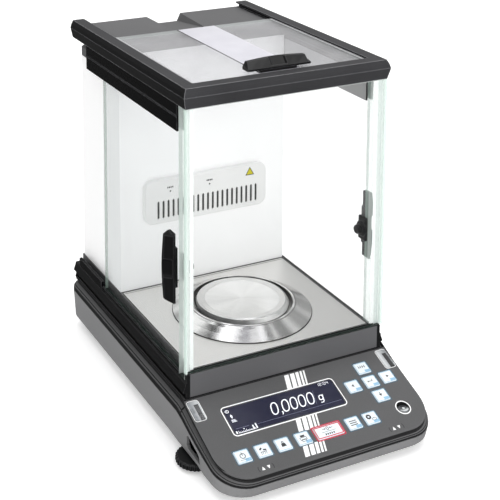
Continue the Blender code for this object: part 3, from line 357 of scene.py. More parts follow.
def flank(color, k):
    """Zone function: the faces turned to the left take `color`, as painted shade where it is darker than the base and
    as painted light where it is lighter.
    """
    def zones(m, base):
        geo = m.add("ShaderNodeNewGeometry")
        nrm = m.add("ShaderNodeSeparateXYZ")
        m.put(nrm.inputs[0], geo.outputs["Normal"])
        return m.mix(m.span(nrm.outputs[0], -0.9, -0.3, k, 0.0), base, color)
    return zones


# the lighter edge colours below are painted highlights; the flank zones paint light on the tub's left faces and shade
# on the frame's left faces
GREY = moulded("moulded_grey", rgb("5a5a5b"), 0.50, edge=0.0005, sheen=0.22, zones=cover_zones, edge_highlight=0.3, edge_highlight_color=rgb("8c8c8e"))
TUB = moulded("moulded_tub_grey", rgb("7c7c7d"), 0.46, edge=0.0005, sheen=0.3, zones=flank(rgb("8b8b8c"), 0.9))
FRAME = moulded("moulded_frame_black", rgb("353537"), 0.40, grain=1200.0, edge=0.0011, spread=0.3, sheen=0.14,
                zones=flank(rgb("0e0e0f"), 0.95), edge_highlight=1.0, edge_highlight_color=rgb("949497"))
LID = moulded("moulded_lid_grey", rgb("606061"), 0.55, edge=0.0008, sheen=0.2, edge_highlight=0.3, edge_highlight_color=rgb("77777a"))
BLACK = moulded("moulded_black", rgb("0e0e0f"), 0.36, grain=1100.0, bump=0.45, edge=0.0009, spread=0.25, sheen=0.3,
                edge_highlight=0.45, edge_highlight_color=rgb("6a6a6d"))
GRIP = moulded("moulded_grip_black", rgb("111112"), 0.55, grain=1100.0, bump=0.45, edge=0.0016, spread=0.25, sheen=0.18,
               edge_highlight=0.3, edge_highlight_color=rgb("6a6a6d"), edge_highlight_at=0.965)
SATIN = moulded("satin_black_rail", rgb("060607"), 0.30, grain=900.0, bump=0.2, edge=0.0006, spread=0.2, sheen=0.06,
                edge_highlight=1.0, edge_highlight_color=rgb("6c6c6f"))


def inner_face(m, base):
    """The face turned to the chamber is painted pale grey, a painted reflection."""
    geo = m.add("ShaderNodeNewGeometry")
    nrm = m.add("ShaderNodeSeparateXYZ")
    m.put(nrm.inputs[0], geo.outputs["True Normal"])
    return m.mix(m.math("LESS_THAN", nrm.outputs[0], -0.7), base, rgb("a6a6a6"))


GUIDE = moulded("satin_guide_right", rgb("060607"), 0.30, grain=900.0, bump=0.2, edge=0.0006, spread=0.2, sheen=0.06,
                edge_highlight=1.0, edge_highlight_color=rgb("6c6c6f"), zones=inner_face)
RUBBER = moulded("rubber_black", rgb("0e0e0f"), 0.75, grain=700.0, bump=0.5, spread=0.15)
WHITE = powder("powder_white", rgb("f6f6f6"), 0.42)
PLASTIC_WHITE = moulded("moulded_white", rgb("f5f5f4"), 0.40, grain=1300.0, bump=0.15, edge=0.0004, spread=0.02)
FLOOR_STEEL = brushed("brushed_floor_steel", (0.86, 0.852, 0.835), 0.42, bump=0.12, spread=0.05)
PAN_CX, PAN_CY = (pan_lo.x + pan_hi.x) / 2, (pan_lo.y + pan_hi.y) / 2


def near_left(m, rad, near=0.0, far=0.75, least=0.25, most=0.95):
    """1 on the side of a round piece that faces the dark left, 0 on the far side; a mask for painted shade."""
    sep = m.add("ShaderNodeSeparateXYZ")
    m.put(sep.inputs[0], m.coord)
    x = m.math("MULTIPLY", m.math("SUBTRACT", sep.outputs[0], PAN_CX), -0.94)
    y = m.math("MULTIPLY", m.math("SUBTRACT", sep.outputs[1], PAN_CY), -0.33)
    return m.span(m.math("DIVIDE", m.math("ADD", x, y), rad), near, far, least, most)


def ring_zones(m, base, rad):
    """Painted shade: a dark line under the crest, and a darker inner wall on the side facing the dark left."""
    line = m.math("MULTIPLY", m.math("GREATER_THAN", rad, 0.0508), m.math("LESS_THAN", rad, 0.0516))
    base = m.mix(m.math("MULTIPLY", line, 0.75), base, (0.06, 0.06, 0.06))
    wall = m.math("MULTIPLY", m.math("LESS_THAN", rad, 0.0493), near_left(m, rad))
    return m.mix(wall, base, (0.05, 0.05, 0.05))


def pan_zones(m, base, rad):
    """The pan: a lighter brushed field with painted conic reflections, a darker smooth land, a rolled lip with a
    painted highlight, and painted shade on the lip's left side.
    """
    sep = m.add("ShaderNodeSeparateXYZ")
    m.put(sep.inputs[0], m.coord)
    # painted reflection: a darker fan across the pan, set by direction
    x = m.math("MULTIPLY", m.math("SUBTRACT", sep.outputs[0], PAN_CX), 0.30)
    y = m.math("MULTIPLY", m.math("SUBTRACT", sep.outputs[1], PAN_CY), 0.954)
    along = m.math("ABSOLUTE", m.math("DIVIDE", m.math("ADD", x, y), rad))
    base = m.mix(m.span(along, 0.0, 0.55, 0.30, 0.0), base, (0.58, 0.58, 0.57))
    field = m.math("LESS_THAN", rad, 0.0356)
    base = m.mix(m.math("MULTIPLY", field, 0.35), base, (0.97, 0.97, 0.965))
    land = m.math("MULTIPLY", m.math("GREATER_THAN", rad, 0.0361), m.math("LESS_THAN", rad, 0.0428))
    base = m.mix(m.math("MULTIPLY", land, 0.40), base, (0.55, 0.55, 0.54))
    line = m.math("MULTIPLY", m.math("GREATER_THAN", rad, 0.0356), m.math("LESS_THAN", rad, 0.0361))
    base = m.mix(m.math("MULTIPLY", line, 0.35), base, (0.35, 0.35, 0.35))
    # painted highlight on the rolled lip
    lip = m.math("GREATER_THAN", rad, 0.0431)
    base = m.mix(m.math("MULTIPLY", lip, 0.5), base, (0.98, 0.98, 0.98))
    # painted shade on the lip's side that faces the dark left
    dark = m.math("MULTIPLY", lip, near_left(m, rad, 0.30, 0.70, 0.0, 0.9))
    return m.mix(dark, base, (0.10, 0.10, 0.10))


PAN_STEEL = turned("turned_pan_steel", (0.92, 0.915, 0.905), 0.26, PAN_CX, PAN_CY, bump=0.015, spread=0.008, painted_reflection=0.12, zones=pan_zones, wobble=0.008)
RING_STEEL = turned("polished_ring_steel", (0.90, 0.895, 0.885), 0.15, PAN_CX, PAN_CY, bump=0.05, spread=0.03, painted_reflection=0.95, pitch=600.0, zones=ring_zones, wobble=0.03)
ALU = brushed("milled_aluminium", (0.60, 0.61, 0.62), 0.42, stretch=(1.0, 40.0, 40.0))
BRASS = brushed("brass", (0.72, 0.52, 0.24), 0.35, stretch=(1.0, 60.0, 60.0))
POLISHED = turned("polished_weight", (0.75, 0.75, 0.75), 0.18, 0.0, PAN_CY - 0.02)
GLASS_FRONT = glass("shield_glass_front", 1, rgb("edf2f0"), edge_alpha=0.60, mirror=0.30)
GLASS_SIDE = glass("shield_glass_side", 0, rgb("93a39b"), edge_alpha=0.60, mirror=0.55,
                   tint=(0.975, 0.982, 0.982))
GLASS_RIGHT = glass("shield_glass_right", 0, rgb("a3b0aa"), edge_alpha=0.60, mirror=0.55, haze=0.055,
                    tint=(0.966, 0.970, 0.970))
GLASS_TOP = glass("shield_glass_top", 2, rgb("b7c4be"), haze=0.15, mirror=0.9, tint=(0.93, 0.93, 0.94))
GLASS_POST = glass("shield_glass_post", 0, rgb("e8eeeb"), edge_alpha=0.50, tint=(0.96, 0.97, 0.966), mirror=0.5)
KEY_WHITE = moulded("key_white", rgb("eef6fb"), 0.42, grain=1300.0, bump=0.12, edge=0.0003, spread=0.02)
BOARD = moulded("board_green", rgb("1d5a34"), 0.35, grain=600.0, bump=0.2)
# the white ink is given a faint glow: painted light
INK_WHITE = ink("ink_white", rgb("fbfbfb"), glow=0.12)
INK_DARK = ink("ink_dark", rgb("2b2b2e"))
INK_BLUE = ink("ink_blue", rgb("4f8fc4"))
INK_HALO = ink("ink_blue_halo", rgb("486b80"))
INK_RED = ink("ink_red", rgb("d0304c"))
INK_YELLOW = ink("ink_yellow", rgb("d9cf2e"))
LCD_WHITE = ink("display_white", rgb("f2f4fa"), glow=0.35)
LCD_DIM = ink("display_dim", rgb("6b6f8c"), glow=0.05)


def display_material():
    """A dark navy display behind a hard clear window: pixel rows and a cloudy backlight."""
    m = Nodes("display_navy")
    cells = m.add("ShaderNodeTexVoronoi")
    m.put(cells.inputs["Vector"], m.coord)
    cells.inputs["Scale"].default_value = 2600.0
    cloud = m.noise(18.0, 3.0, 0.5)
    base = m.mix(m.span(cloud, 0.3, 0.7, 0.0, 1.0), rgb("14152a"), rgb("1b1c33"))
    base = m.mix(m.span(cells.outputs["Distance"], 0.0, 0.6, 0.0, 0.25), base, rgb("26274a"))
    smear = m.noise(60.0, 3.0, 0.6)
    return m.done(m.principled(base, m.span(smear, 0.3, 0.7, 0.16, 0.26), 0.0, None,
                               Coat_Weight=0.1, Coat_Roughness=0.08, Specular_IOR_Level=0.25))


def lens_material():
    """A smoked sensor window: a painted highlight makes its upper part bright, and its lower part is dark."""
    m = Nodes("smoked_lens")
    sep = m.add("ShaderNodeSeparateXYZ")
    m.put(sep.inputs[0], m.coord)
    side = m.math("ABSOLUTE", sep.outputs[0])
    inner = m.span(side, 0.0945, 0.1000, 1.0, 0.0)
    streak = m.noise(140.0, 2.0, 0.5)
    base = m.mix(m.span(streak, 0.3, 0.7, 0.0, 1.0), rgb("6a6e72"), rgb("a0a4a7"))
    # painted highlight on the inner part of each window
    base = m.mix(inner, base, rgb("d2d5d7"))
    u = m.math("ADD", sep.outputs[0], m.math("MULTIPLY", m.math("LESS_THAN", sep.outputs[0], 0.0), 0.195))
    low = m.math("MULTIPLY", m.math("GREATER_THAN", u, 0.0976), m.math("LESS_THAN", u, 0.1019))
    low = m.math("MULTIPLY", low, m.math("LESS_THAN", sep.outputs[1], -0.0975))
    base = m.mix(low, base, rgb("17191b"))
    return m.done(m.principled(base, m.span(streak, 0.3, 0.7, 0.08, 0.2), 0.0, None,
                               Coat_Weight=0.8, Coat_Roughness=0.04))


def vial_material():
    """A clear acrylic vial top over pale liquid."""
    m = Nodes("vial_acrylic")
    swirl = m.noise(300.0, 2.0, 0.5)
    base = m.mix(m.span(swirl, 0.3, 0.7, 0.0, 1.0), rgb("5d6063"), rgb("8e9294"))
    return m.done(m.principled(base, m.span(swirl, 0.3, 0.7, 0.08, 0.18), 0.0, None,
                               Coat_Weight=1.0, Coat_Roughness=0.03))


DISPLAY_MAT, LENS_MAT, VIAL_MAT = display_material(), lens_material(), vial_material()

PAINT = {
    "base_tub": TUB, "base_cover": GREY, "display_window": DISPLAY_MAT, "display_module": ALU,
    "sensor_window_left": LENS_MAT, "sensor_window_right": LENS_MAT, "panel_board": BOARD,
    "main_board": BOARD, "level_vial": VIAL_MAT, "foot_wheel_left": BLACK, "foot_wheel_right": BLACK,
    "foot_pad_left": RUBBER, "foot_pad_right": RUBBER, "rear_foot_left": RUBBER,
    "rear_foot_right": RUBBER, "floor_plate": FLOOR_STEEL, "draft_ring": RING_STEEL,
    "weighing_pan": PAN_STEEL, "pan_support": ALU, "load_cell_frame": ALU, "load_cell_beam": ALU,
    "magnet_pot": POLISHED, "calibration_weight": POLISHED, "calibration_cam": BRASS,
    "calibration_motor": BLACK, "front_glass": GLASS_FRONT, "corner_glass_left": GLASS_POST,
    "corner_glass_right": GLASS_POST, "left_door_glass": GLASS_SIDE, "right_door_glass": GLASS_RIGHT,
    "left_door_handle": GRIP, "right_door_handle": GRIP, "top_door_handle": BLACK,
    "left_door_clamp": BLACK, "right_door_clamp": BLACK, "top_frame": FRAME,
    "upper_guide_left": SATIN, "upper_guide_right": GUIDE, "lower_guide_left": SATIN,
    "lower_guide_right": SATIN, "top_door_glass": GLASS_TOP, "rear_wall": WHITE,
    "rear_cover": WHITE, "top_rear_cover": LID, "ioniser_housing": PLASTIC_WHITE,
    "power_socket": BLACK, "data_port": ALU,
}
for name, obj in NODES.items():
    mat = PAINT.get(name, KEY_WHITE if name.startswith("key_") else GREY)
    obj.data.materials.clear()
    obj.data.materials.append(mat)

# ------------------------------------------------------------------ mesh helpers


def new_object(name, bm, mats, body, smooth=None):
    me = bpy.data.meshes.new(name)
    bmesh.ops.recalc_face_normals(bm, faces=bm.faces[:])
    bm.to_mesh(me)
    bm.free()
    for m in mats:
        me.materials.append(m)
    if smooth is not None:
        me.shade_smooth()
        me.set_sharp_from_angle(angle=math.radians(smooth))
    obj = bpy.data.objects.new(name, me)
    scene.collection.objects.link(obj)
    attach(obj, body)
    return obj


def slab(bm, pts, place, h0, h1, mat=0):
    """A thin plate with outline pts (u, v); place(u, v, h) gives its points in metres."""
    low = [bm.verts.new(place(u, v, h0)) for u, v in pts]
    top = [bm.verts.new(place(u, v, h1)) for u, v in pts]
    faces = [bm.faces.new(low[::-1]), bm.faces.new(top)]
    n = len(pts)
    for i in range(n):
        j = (i + 1) % n
        faces.append(bm.faces.new((low[i], low[j], top[j], top[i])))
    for f in faces:
        f.material_index = mat


def ring_slab(bm, outer, inner, place, h0, h1, mat=0):
    """A thin frame between two outlines with the same number of points."""
    n = len(outer)
    v = [[bm.verts.new(place(p[0], p[1], h)) for p in loop]
         for loop, h in ((outer, h0), (outer, h1), (inner, h1), (inner, h0))]
    for a, b in ((0, 1), (1, 2), (2, 3), (3, 0)):
        for i in range(n):
            j = (i + 1) % n
            bm.faces.new((v[a][i], v[a][j], v[b][j], v[b][i])).material_index = mat


def rect(x0, x1, y0, y1, r=0.0, seg=4):
    if r <= 0:
        return [(x0, y0), (x1, y0), (x1, y1), (x0, y1)]
    pts = []
    for cx, cy, a0 in ((x1 - r, y0 + r, -90), (x1 - r, y1 - r, 0), (x0 + r, y1 - r, 90), (x0 + r, y0 + r, 180)):
        for k in range(seg + 1):
            a = math.radians(a0 + 90 * k / seg)
            pts.append((cx + r * math.cos(a), cy + r * math.sin(a)))
    return pts


def ellipse(cx, cy, a, b, n=28, slant=0.0):
    out = []
    for k in range(n):
        t = 2 * math.pi * k / n
        y = b * math.sin(t)
        out.append((cx + a * math.cos(t) + slant * y, cy + y))
    return out


def superellipse(cx, cy, a, b, p=2.6, n=32, slant=0.0):
    out = []
    for k in range(n):
        t = 2 * math.pi * k / n
        c, s = math.cos(t), math.sin(t)
        x = a * math.copysign(abs(c) ** (2 / p), c)
        y = b * math.copysign(abs(s) ** (2 / p), s)
        out.append((cx + x + slant * y, cy + y))
    return out


def stroke(x0, y0, x1, y1, w):
    d = Vector((x1 - x0, y1 - y0))
    n = Vector((-d.y, d.x)).normalized() * (w / 2)
    return [(x0 - n.x, y0 - n.y), (x1 - n.x, y1 - n.y), (x1 + n.x, y1 + n.y), (x0 + n.x, y0 + n.y)]


# panel frame: x to the right, s down the slope, h out of the panel, all in millimetres
TILT = math.radians(19.5)
PANEL_AT = Vector((0.0, -0.088 + SHIFT_Y, 0.0523))
PX = Vector((1, 0, 0))
PY = Vector((0, math.cos(TILT), math.sin(TILT)))
PZ = Vector((0, -math.sin(TILT), math.cos(TILT)))


def on_panel(x, s, h):
    return PANEL_AT + (PX * x - PY * s + PZ * h) * MM


# ------------------------------------------------------------------ panel print
KEY_D = 12.0
KEYS = {}
for name in NODES:
    if name.startswith("key_"):
        a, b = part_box(name)
        c = (a + b) / 2 - PANEL_AT
        # the centre of the key's face along the slope
        s = -(c.dot(PY)) / MM
        KEYS[name] = ((a.x + b.x) / 2 / MM, s, (b.x - a.x) / MM)

bm = bmesh.new()
# five stripes that lean and get thinner to the right
STRIPES = ((-4.4, 0.2), (1.6, 5.9), (7.1, 10.3), (11.6, 13.7), (15.0, 16.6))


def lean(x, s):
    return x - 0.300 * (s - 2.2)


def clear_spans(x0, x1, s0, s1):
    """Pieces of the stripe's length that no key or window covers."""
    cuts = [(17.6, 46.9)]
    for kx, ks, kw in KEYS.values():
        cuts_x = (kx - kw / 2 - 0.4, kx + kw / 2 + 0.4)
        a, b = ks - KEY_D / 2 - 0.4, ks + KEY_D / 2 + 0.4
        if lean(x0, (a + b) / 2) < cuts_x[1] and lean(x1, (a + b) / 2) > cuts_x[0]:
            cuts.append((a, b))
    spans, at = [], s0
    for a, b in sorted(cuts):
        if a > at:
            spans.append((at, min(a, s1)))
        at = max(at, b)
    if at < s1:
        spans.append((at, s1))
    return spans


for x0, x1 in STRIPES:
    # the bottom end of each stripe lies on the panel's front edge
    for s0, s1 in clear_spans(x0, x1, 2.4, 83.2):
        q = [(lean(x0, s0), s0), (lean(x1, s0), s0), (lean(x1, s1), s1), (lean(x0, s1), s1)]
        slab(bm, q, on_panel, 0.0, 0.05)
# white line round the display
ring_slab(bm, rect(-77.3, 36.5, 17.0, 47.5, 3.9, 6), rect(-76.35, 35.55, 17.95, 46.55, 3.0, 6),
          on_panel, 0.0, 0.3)
# the level's white ring
ring_slab(bm, ellipse(82.4, 65.4, 7.1, 7.1, 40), ellipse(82.4, 65.4, 6.15, 6.15, 40), on_panel, 0.0, 0.25)
# thin white line along the rear edge of each sensor window
for x0, x1 in ((-102.2, -92.0), (92.8, 103.0)):
    ring_slab(bm, rect(x0 - 0.7, x1 + 0.7, 2.5, 24.1, 2.6, 4), rect(x0 - 0.25, x1 + 0.25, 2.95, 23.65, 2.2, 4),
              on_panel, 0.0, 0.08)
# turning marks of the levelling feet: an up and a down arrow between two arcs
for cx, cs in ((-65.6, 81.6), (64.3, 81.8)):
    slab(bm, [(cx - 4.2, cs + 1.5), (cx - 1.2, cs + 1.5), (cx - 2.7, cs - 1.7)], on_panel, 0.0, 0.05)
    slab(bm, [(cx + 1.2, cs - 1.5), (cx + 4.2, cs - 1.5), (cx + 2.7, cs + 1.7)], on_panel, 0.0, 0.05)
for name, (kx, ks, kw) in KEYS.items():
    tare = name == "key_tare"
    o = rect(kx - kw / 2 - (1.3 if tare else 1.0), kx + kw / 2 + (1.3 if tare else 1.0),
             ks - KEY_D / 2 - (1.3 if tare else 1.0), ks + KEY_D / 2 + (1.3 if tare else 1.0), 1.4, 3)
    i = rect(kx - kw / 2 - 0.32, kx + kw / 2 + 0.32, ks - KEY_D / 2 - 0.32, ks + KEY_D / 2 + 0.32, 1.0, 3)
    ring_slab(bm, o, i, on_panel, 0.0, 0.06, mat=2 if tare else 1)
for cx, cs in ((-65.6, 81.6), (64.3, 81.8)):
    for side in (-1, 1):
        pts = [(cx + side * (6.2 + 1.2 * math.cos(t)), cs + 2.6 * math.sin(t)) for t in np.linspace(-1.2, 1.2, 7)]
        back = [(x - side * 0.7, s) for x, s in reversed(pts)]
        slab(bm, [(float(x), float(s)) for x, s in pts + back], on_panel, 0.0, 0.05, mat=3)
new_object("panel_print", bm, [INK_WHITE, INK_HALO, INK_RED, INK_DARK], "housing")

# ------------------------------------------------------------------ display reading
bm = bmesh.new()
TOP = 0.2


def on_display(x, s, h):
    return on_panel(x, s, TOP + h)


def zero(cx, cs, w, h, t, slant=-0.24, mat=0):
    ring_slab(bm, superellipse(cx, cs, w / 2, h / 2, 2.5, 32, slant),
              superellipse(cx, cs, w / 2 - t, h / 2 - t, 2.3, 32, slant), on_display, 0.0, 0.05, mat)


for cx in (-30.3, -19.3, -10.9, -2.5, 6.0):
    zero(cx, 31.6, 7.2, 12.4, 1.0)
# decimal comma
slab(bm, [(-25.6, 36.2), (-24.2, 36.2), (-24.6, 38.3), (-25.9, 39.6), (-26.2, 39.2), (-25.4, 37.8)],
     on_display, 0.0, 0.05)
# box round the last place
for x in (1.3, 10.3):
    slab(bm, stroke(x + 1.7, 25.0, x - 1.7, 38.6, 0.28), on_display, 0.0, 0.05, 1)
# unit: a small loop with a tail
zero(15.8, 33.6, 4.6, 5.4, 0.85)
for q in (stroke(18.6, 31.0, 16.9, 37.4, 0.85), stroke(16.95, 37.3, 15.6, 38.7, 0.85),
          stroke(15.8, 38.6, 13.4, 38.4, 0.8)):
    slab(bm, q, on_display, 0.0, 0.05)
# divider, status bar and bar graph
slab(bm, stroke(-52.0, 41.2, 32.6, 41.2, 0.32), on_display, 0.0, 0.05, 1)
slab(bm, stroke(-73.0, 40.4, -60.0, 40.4, 0.3), on_display, 0.0, 0.05, 1)
slab(bm, stroke(-72.0, 44.9, -55.0, 44.9, 0.45), on_display, 0.0, 0.05)
for k in range(12):
    x = -71.5 + 1.45 * k
    slab(bm, stroke(x, 44.6 - (1.7 if k % 5 == 0 else 0.9), x, 44.9, 0.35), on_display, 0.0, 0.05)
slab(bm, rect(-74.2, -72.8, 42.6, 45.2, 0.3, 2), on_display, 0.0, 0.05)
slab(bm, [(-66.6, 41.6), (-65.0, 41.6), (-65.8, 42.8)], on_display, 0.0, 0.05)
slab(bm, rect(-57.6, -56.4, 40.8, 44.6, 0.3, 2), on_display, 0.0, 0.05)
slab(bm, rect(-54.6, -53.4, 39.9, 44.9, 0.3, 2), on_display, 0.0, 0.05)
# small pictograms on the left: a circle, an arrow up, a stack
ring_slab(bm, ellipse(-72.4, 22.2, 1.9, 1.5, 16), ellipse(-72.4, 22.2, 1.4, 1.0, 16), on_display, 0.0, 0.05)
slab(bm, ellipse(-72.4, 22.2, 0.5, 0.4, 10), on_display, 0.0, 0.05)
slab(bm, [(-72.0, 28.0), (-69.4, 28.0), (-70.7, 25.4)], on_display, 0.0, 0.05)
slab(bm, rect(-71.2, -70.2, 28.0, 29.6), on_display, 0.0, 0.05)
for k in range(3):
    slab(bm, rect(-72.6, -68.9 + 0.5 * k, 31.0 + 1.0 * k, 31.5 + 1.0 * k), on_display, 0.0, 0.05)
# clock figures at the top right, as seven-segment digits
SEGMENTS = {"0": "abcdef", "1": "bc", "2": "abged", "4": "fgbc", "5": "afgcd"}


def small_digit(ch, cx, cs, w, h, t):
    x0, x1, y0, y1, ym = cx - w / 2, cx + w / 2, cs - h / 2, cs + h / 2, cs
    lines = {"a": (x0, y0, x1, y0), "b": (x1, y0, x1, ym), "c": (x1, ym, x1, y1), "d": (x0, y1, x1, y1),
             "e": (x0, ym, x0, y1), "f": (x0, y0, x0, ym), "g": (x0, ym, x1, ym)}
    for k in SEGMENTS[ch]:
        slab(bm, stroke(*lines[k], t), on_display, 0.0, 0.05, 2)


for ch, cx in (("1", 19.6), ("2", 22.4), ("0", 26.6), ("4", 29.4)):
    small_digit(ch, cx, 20.9, 1.7, 2.6, 0.34)
for dy in (-0.7, 0.7):
    slab(bm, ellipse(24.5, 20.9 + dy, 0.28, 0.28, 8), on_display, 0.0, 0.05, 2)
new_object("display_reading", bm, [LCD_WHITE, LCD_DIM, LCD_WHITE], "housing")

# dark bezel inside the display window
bm = bmesh.new()
ring_slab(bm, rect(-75.9, 35.1, 18.4, 46.1, 2.7, 6), rect(-75.2, 34.4, 19.1, 45.4, 2.2, 6),
          on_display, 0.0, 0.03)
new_object("display_bezel", bm, [INK_DARK], "housing")

# ------------------------------------------------------------------ key prints


def key_icon(bm, name, place):
    """A pictogram in key coordinates: u to the right, v down, about the key's centre."""
    def P(pts, mat=0):
        slab(bm, pts, place, 0.0, 0.04, mat)

    def R(outer, inner, mat=0):
        ring_slab(bm, outer, inner, place, 0.0, 0.04, mat)

    if name == "key_power":
        R([(2.6 * math.cos(t), -0.3 + 2.6 * math.sin(t)) for t in np.linspace(-1.1, 4.24, 24)],
          [(2.0 * math.cos(t), -0.3 + 2.0 * math.sin(t)) for t in np.linspace(-1.1, 4.24, 24)])
        P(stroke(0, -3.8, 0, -0.6, 0.6))
        P(stroke(-3.6, 3.4, 3.6, 3.4, 0.3))
    elif name == "key_clean":
        P([(-3.4, -1.6), (-1.2, -3.0), (-0.6, -1.8), (-2.6, -0.4)])
        P([(0.2, -1.2), (3.0, -0.4), (2.4, 0.8), (-0.2, 0.2)])
        for k in range(4):
            P(stroke(-2.4 + 1.5 * k, 1.6, -2.8 + 1.5 * k, 3.8, 0.35))
        P(stroke(-3.2, 1.4, 2.8, 1.4, 0.45))
    elif name == "key_calibrate":
        P([(-2.2, 2.2), (2.2, 2.2), (1.7, -0.9), (-1.7, -0.9)])
        R(ellipse(0, -1.9, 1.1, 1.1, 16), ellipse(0, -1.9, 0.6, 0.6, 16))
    elif name == "key_print":
        R(rect(-3.2, 3.2, -1.0, 1.8), rect(-2.8, 2.8, -0.6, 1.4))
        P(rect(-2.0, 2.0, -3.0, -1.2))
        R(rect(-2.2, 2.2, 1.0, 3.4), rect(-1.8, 1.8, 1.4, 3.0))
    elif name == "key_tare":
        R(superellipse(0, -2.4, 1.2, 1.7, 2.4, 20), superellipse(0, -2.4, 0.75, 1.25, 2.4, 20))
        for side in (-1, 1):
            P(stroke(side * 5.2, -2.4, side * 2.6, -2.4, 0.4))
            P([(side * 1.8, -2.4), (side * 3.0, -3.3), (side * 3.0, -1.5)])
        P(stroke(-7.0, 0.4, 7.0, 0.4, 0.3))
        for k in range(5):
            P(rect(-4.6 + 2.0 * k, -3.4 + 2.0 * k, 1.9, 3.6, 0.2, 1))
    elif name == "key_menu":
        for k in range(3):
            P(rect(-3.6, 3.6, -2.6 + 2.0 * k, -1.8 + 2.0 * k, 0.3, 2))
    elif name == "key_settings":
        pts = []
        for k in range(24):
            r = 2.3 if k % 3 else 2.8
            t = 2 * math.pi * k / 24
            pts.append((-1.8 + r * math.cos(t), -1.4 + r * math.sin(t)))
        R(pts, ellipse(-1.8, -1.4, 0.95, 0.95, 24))
        R(ellipse(2.6, 1.8, 2.3, 1.5, 20), ellipse(2.6, 1.8, 1.9, 1.1, 20))
    elif name == "key_unit":
        for k in range(4):
            P(stroke(-3.0 + 2.0 * k, -2.6, -3.2 + 2.0 * k, 0.2, 0.5))
        P(stroke(-3.6, -1.2, 3.4, -1.2, 0.3))
    elif name in ("key_left", "key_right", "key_down"):
        t = {"key_left": 1.0, "key_right": -1.0}.get(name)
        if t is None:
            P([(-1.5, -1.4), (1.5, -1.4), (0, 1.0)])
            P(stroke(0, -3.2, 0, -1.3, 0.6))
        else:
            P([(-1.6 * t, -0.6), (0.8 * t, -2.1), (0.8 * t, 0.9)])
    elif name == "key_enter":
        P(stroke(-2.6, -0.4, 1.8, -0.4, 0.45))
        P(stroke(1.8, -2.4, 1.8, -0.2, 0.45))
        P([(-3.4, -0.4), (-2.0, -1.4), (-2.0, 0.6)])
    # blue function tab in the lower right corner
    if name not in ("key_calibrate", "key_clean", "key_tare"):
        w = KEYS[name][2]
        P([(w / 2 - 6.0, KEY_D / 2 - 3.4), (w / 2 - 0.9, KEY_D / 2 - 3.4),
           (w / 2 - 0.9, KEY_D / 2 - 0.9), (w / 2 - 6.0, KEY_D / 2 - 0.9)], 1)


for name, (kx, ks, kw) in KEYS.items():
    bm = bmesh.new()
    # the print lies on the key's top face, 0.5 mm above the panel
    key_icon(bm, name, lambda u, v, h, kx=kx, ks=ks: on_panel(kx + u, ks + v, 0.5 + h))
    w, d = kw / 2 - 0.45, KEY_D / 2 - 0.45
    trim = 2 if name == "key_tare" else 1
    t = 0.85 if name == "key_tare" else 0.40
    ring_slab(bm, rect(kx - w, kx + w, ks - d, ks + d, 0.6, 2),
              rect(kx - w + t, kx + w - t, ks - d + t, ks + d - t, 0.4, 2),
              lambda u, v, h: on_panel(u, v, 0.5 + h), 0.0, 0.04, trim)
    new_object("print_" + name, bm, [INK_DARK, ink("ink_sky_" + name, rgb("9cc6e2")) if trim == 1 else INK_BLUE, INK_RED],
               name.replace("key_", "button_"))

# ------------------------------------------------------------------ level vial: liquid, bubble, ring
vlo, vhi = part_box("level_vial")
vc = Vector(((vlo.x + vhi.x) / 2, (vlo.y + vhi.y) / 2, vhi.z))


def vial_liquid():
    m = Nodes("vial_liquid")
    sep = m.add("ShaderNodeSeparateXYZ")
    m.put(sep.inputs[0], m.coord)
    n = m.noise(350.0, 2.0, 0.5)
    # painted shade on the rear of the liquid and a painted light crescent at the front
    t = m.span(sep.outputs[1], vc.y - 0.0034, vc.y - 0.0006, 1.0, 0.0)
    base = m.mix(t, rgb("3a3c3f"), rgb("dfe3e4"))
    base = m.mix(m.span(n, 0.3, 0.7, 0.0, 0.2), base, rgb("777b7e"))
    return m.done(m.principled(base, 0.12, 0.0, None, Coat_Weight=1.0, Coat_Roughness=0.03))


bm = bmesh.new()
slab(bm, ellipse(0, 0, 4.8, 4.8, 36), lambda u, v, h: vc + Vector((u, v, h)) * MM, 0.02, 0.06)
new_object("vial_liquid", bm, [vial_liquid()], "housing")
bm = bmesh.new()
ring_slab(bm, ellipse(0, 0, 2.1, 2.1, 28), ellipse(0, 0, 1.8, 1.8, 28),
          lambda u, v, h: vc + Vector((u, v, h)) * MM, 0.06, 0.10)
new_object("vial_circle", bm, [INK_DARK], "housing")
bm = bmesh.new()
bmesh.ops.create_uvsphere(bm, u_segments=20, v_segments=10, radius=1.35 * MM)
for v in bm.verts:
    v.co = vc + Vector((v.co.x + 0.15 * MM, v.co.y - 0.1 * MM, max(v.co.z, 0.0) * 0.3 + 0.06 * MM))
bmesh.ops.remove_doubles(bm, verts=bm.verts[:], dist=1e-6)
m = Nodes("vial_bubble")
k = m.noise(500.0)
new_object("vial_bubble", bm, [m.done(m.principled(m.mix(k, rgb("c9cfd0"), rgb("eef1f1")), 0.08, 0.0, None,
                                                   Coat_Weight=1.0))], "housing", smooth=60)

# ------------------------------------------------------------------ top glass film and hairline
tlo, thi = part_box("top_door_glass")


def film_material():
    m = Nodes("glass_film")
    n = m.noise(40.0, 3.0, 0.5)
    cl = m.add("ShaderNodeBsdfTransparent")
    m.put(cl.inputs["Color"], (0.97, 0.97, 0.98))
    body = m.principled(m.mix(m.span(n, 0.3, 0.7, 0.0, 1.0), rgb("e2e1e8"), rgb("ebeaf0")), 0.35)
    mx = m.add("ShaderNodeMixShader")
    mx.inputs[0].default_value = 0.72
    m.put(mx.inputs[1], cl.outputs[0])
    m.put(mx.inputs[2], body)
    return m.done(mx.outputs[0])


bm = bmesh.new()
slab(bm, rect(-18.6, 22.0, tlo.y / MM + 4.0, thi.y / MM - 0.8, 0.8, 2),
     lambda u, v, h: Vector((u * MM, v * MM, thi.z + h * MM)), 0.02, 0.10)
new_object("top_door_film", bm, [film_material()], "top_door")
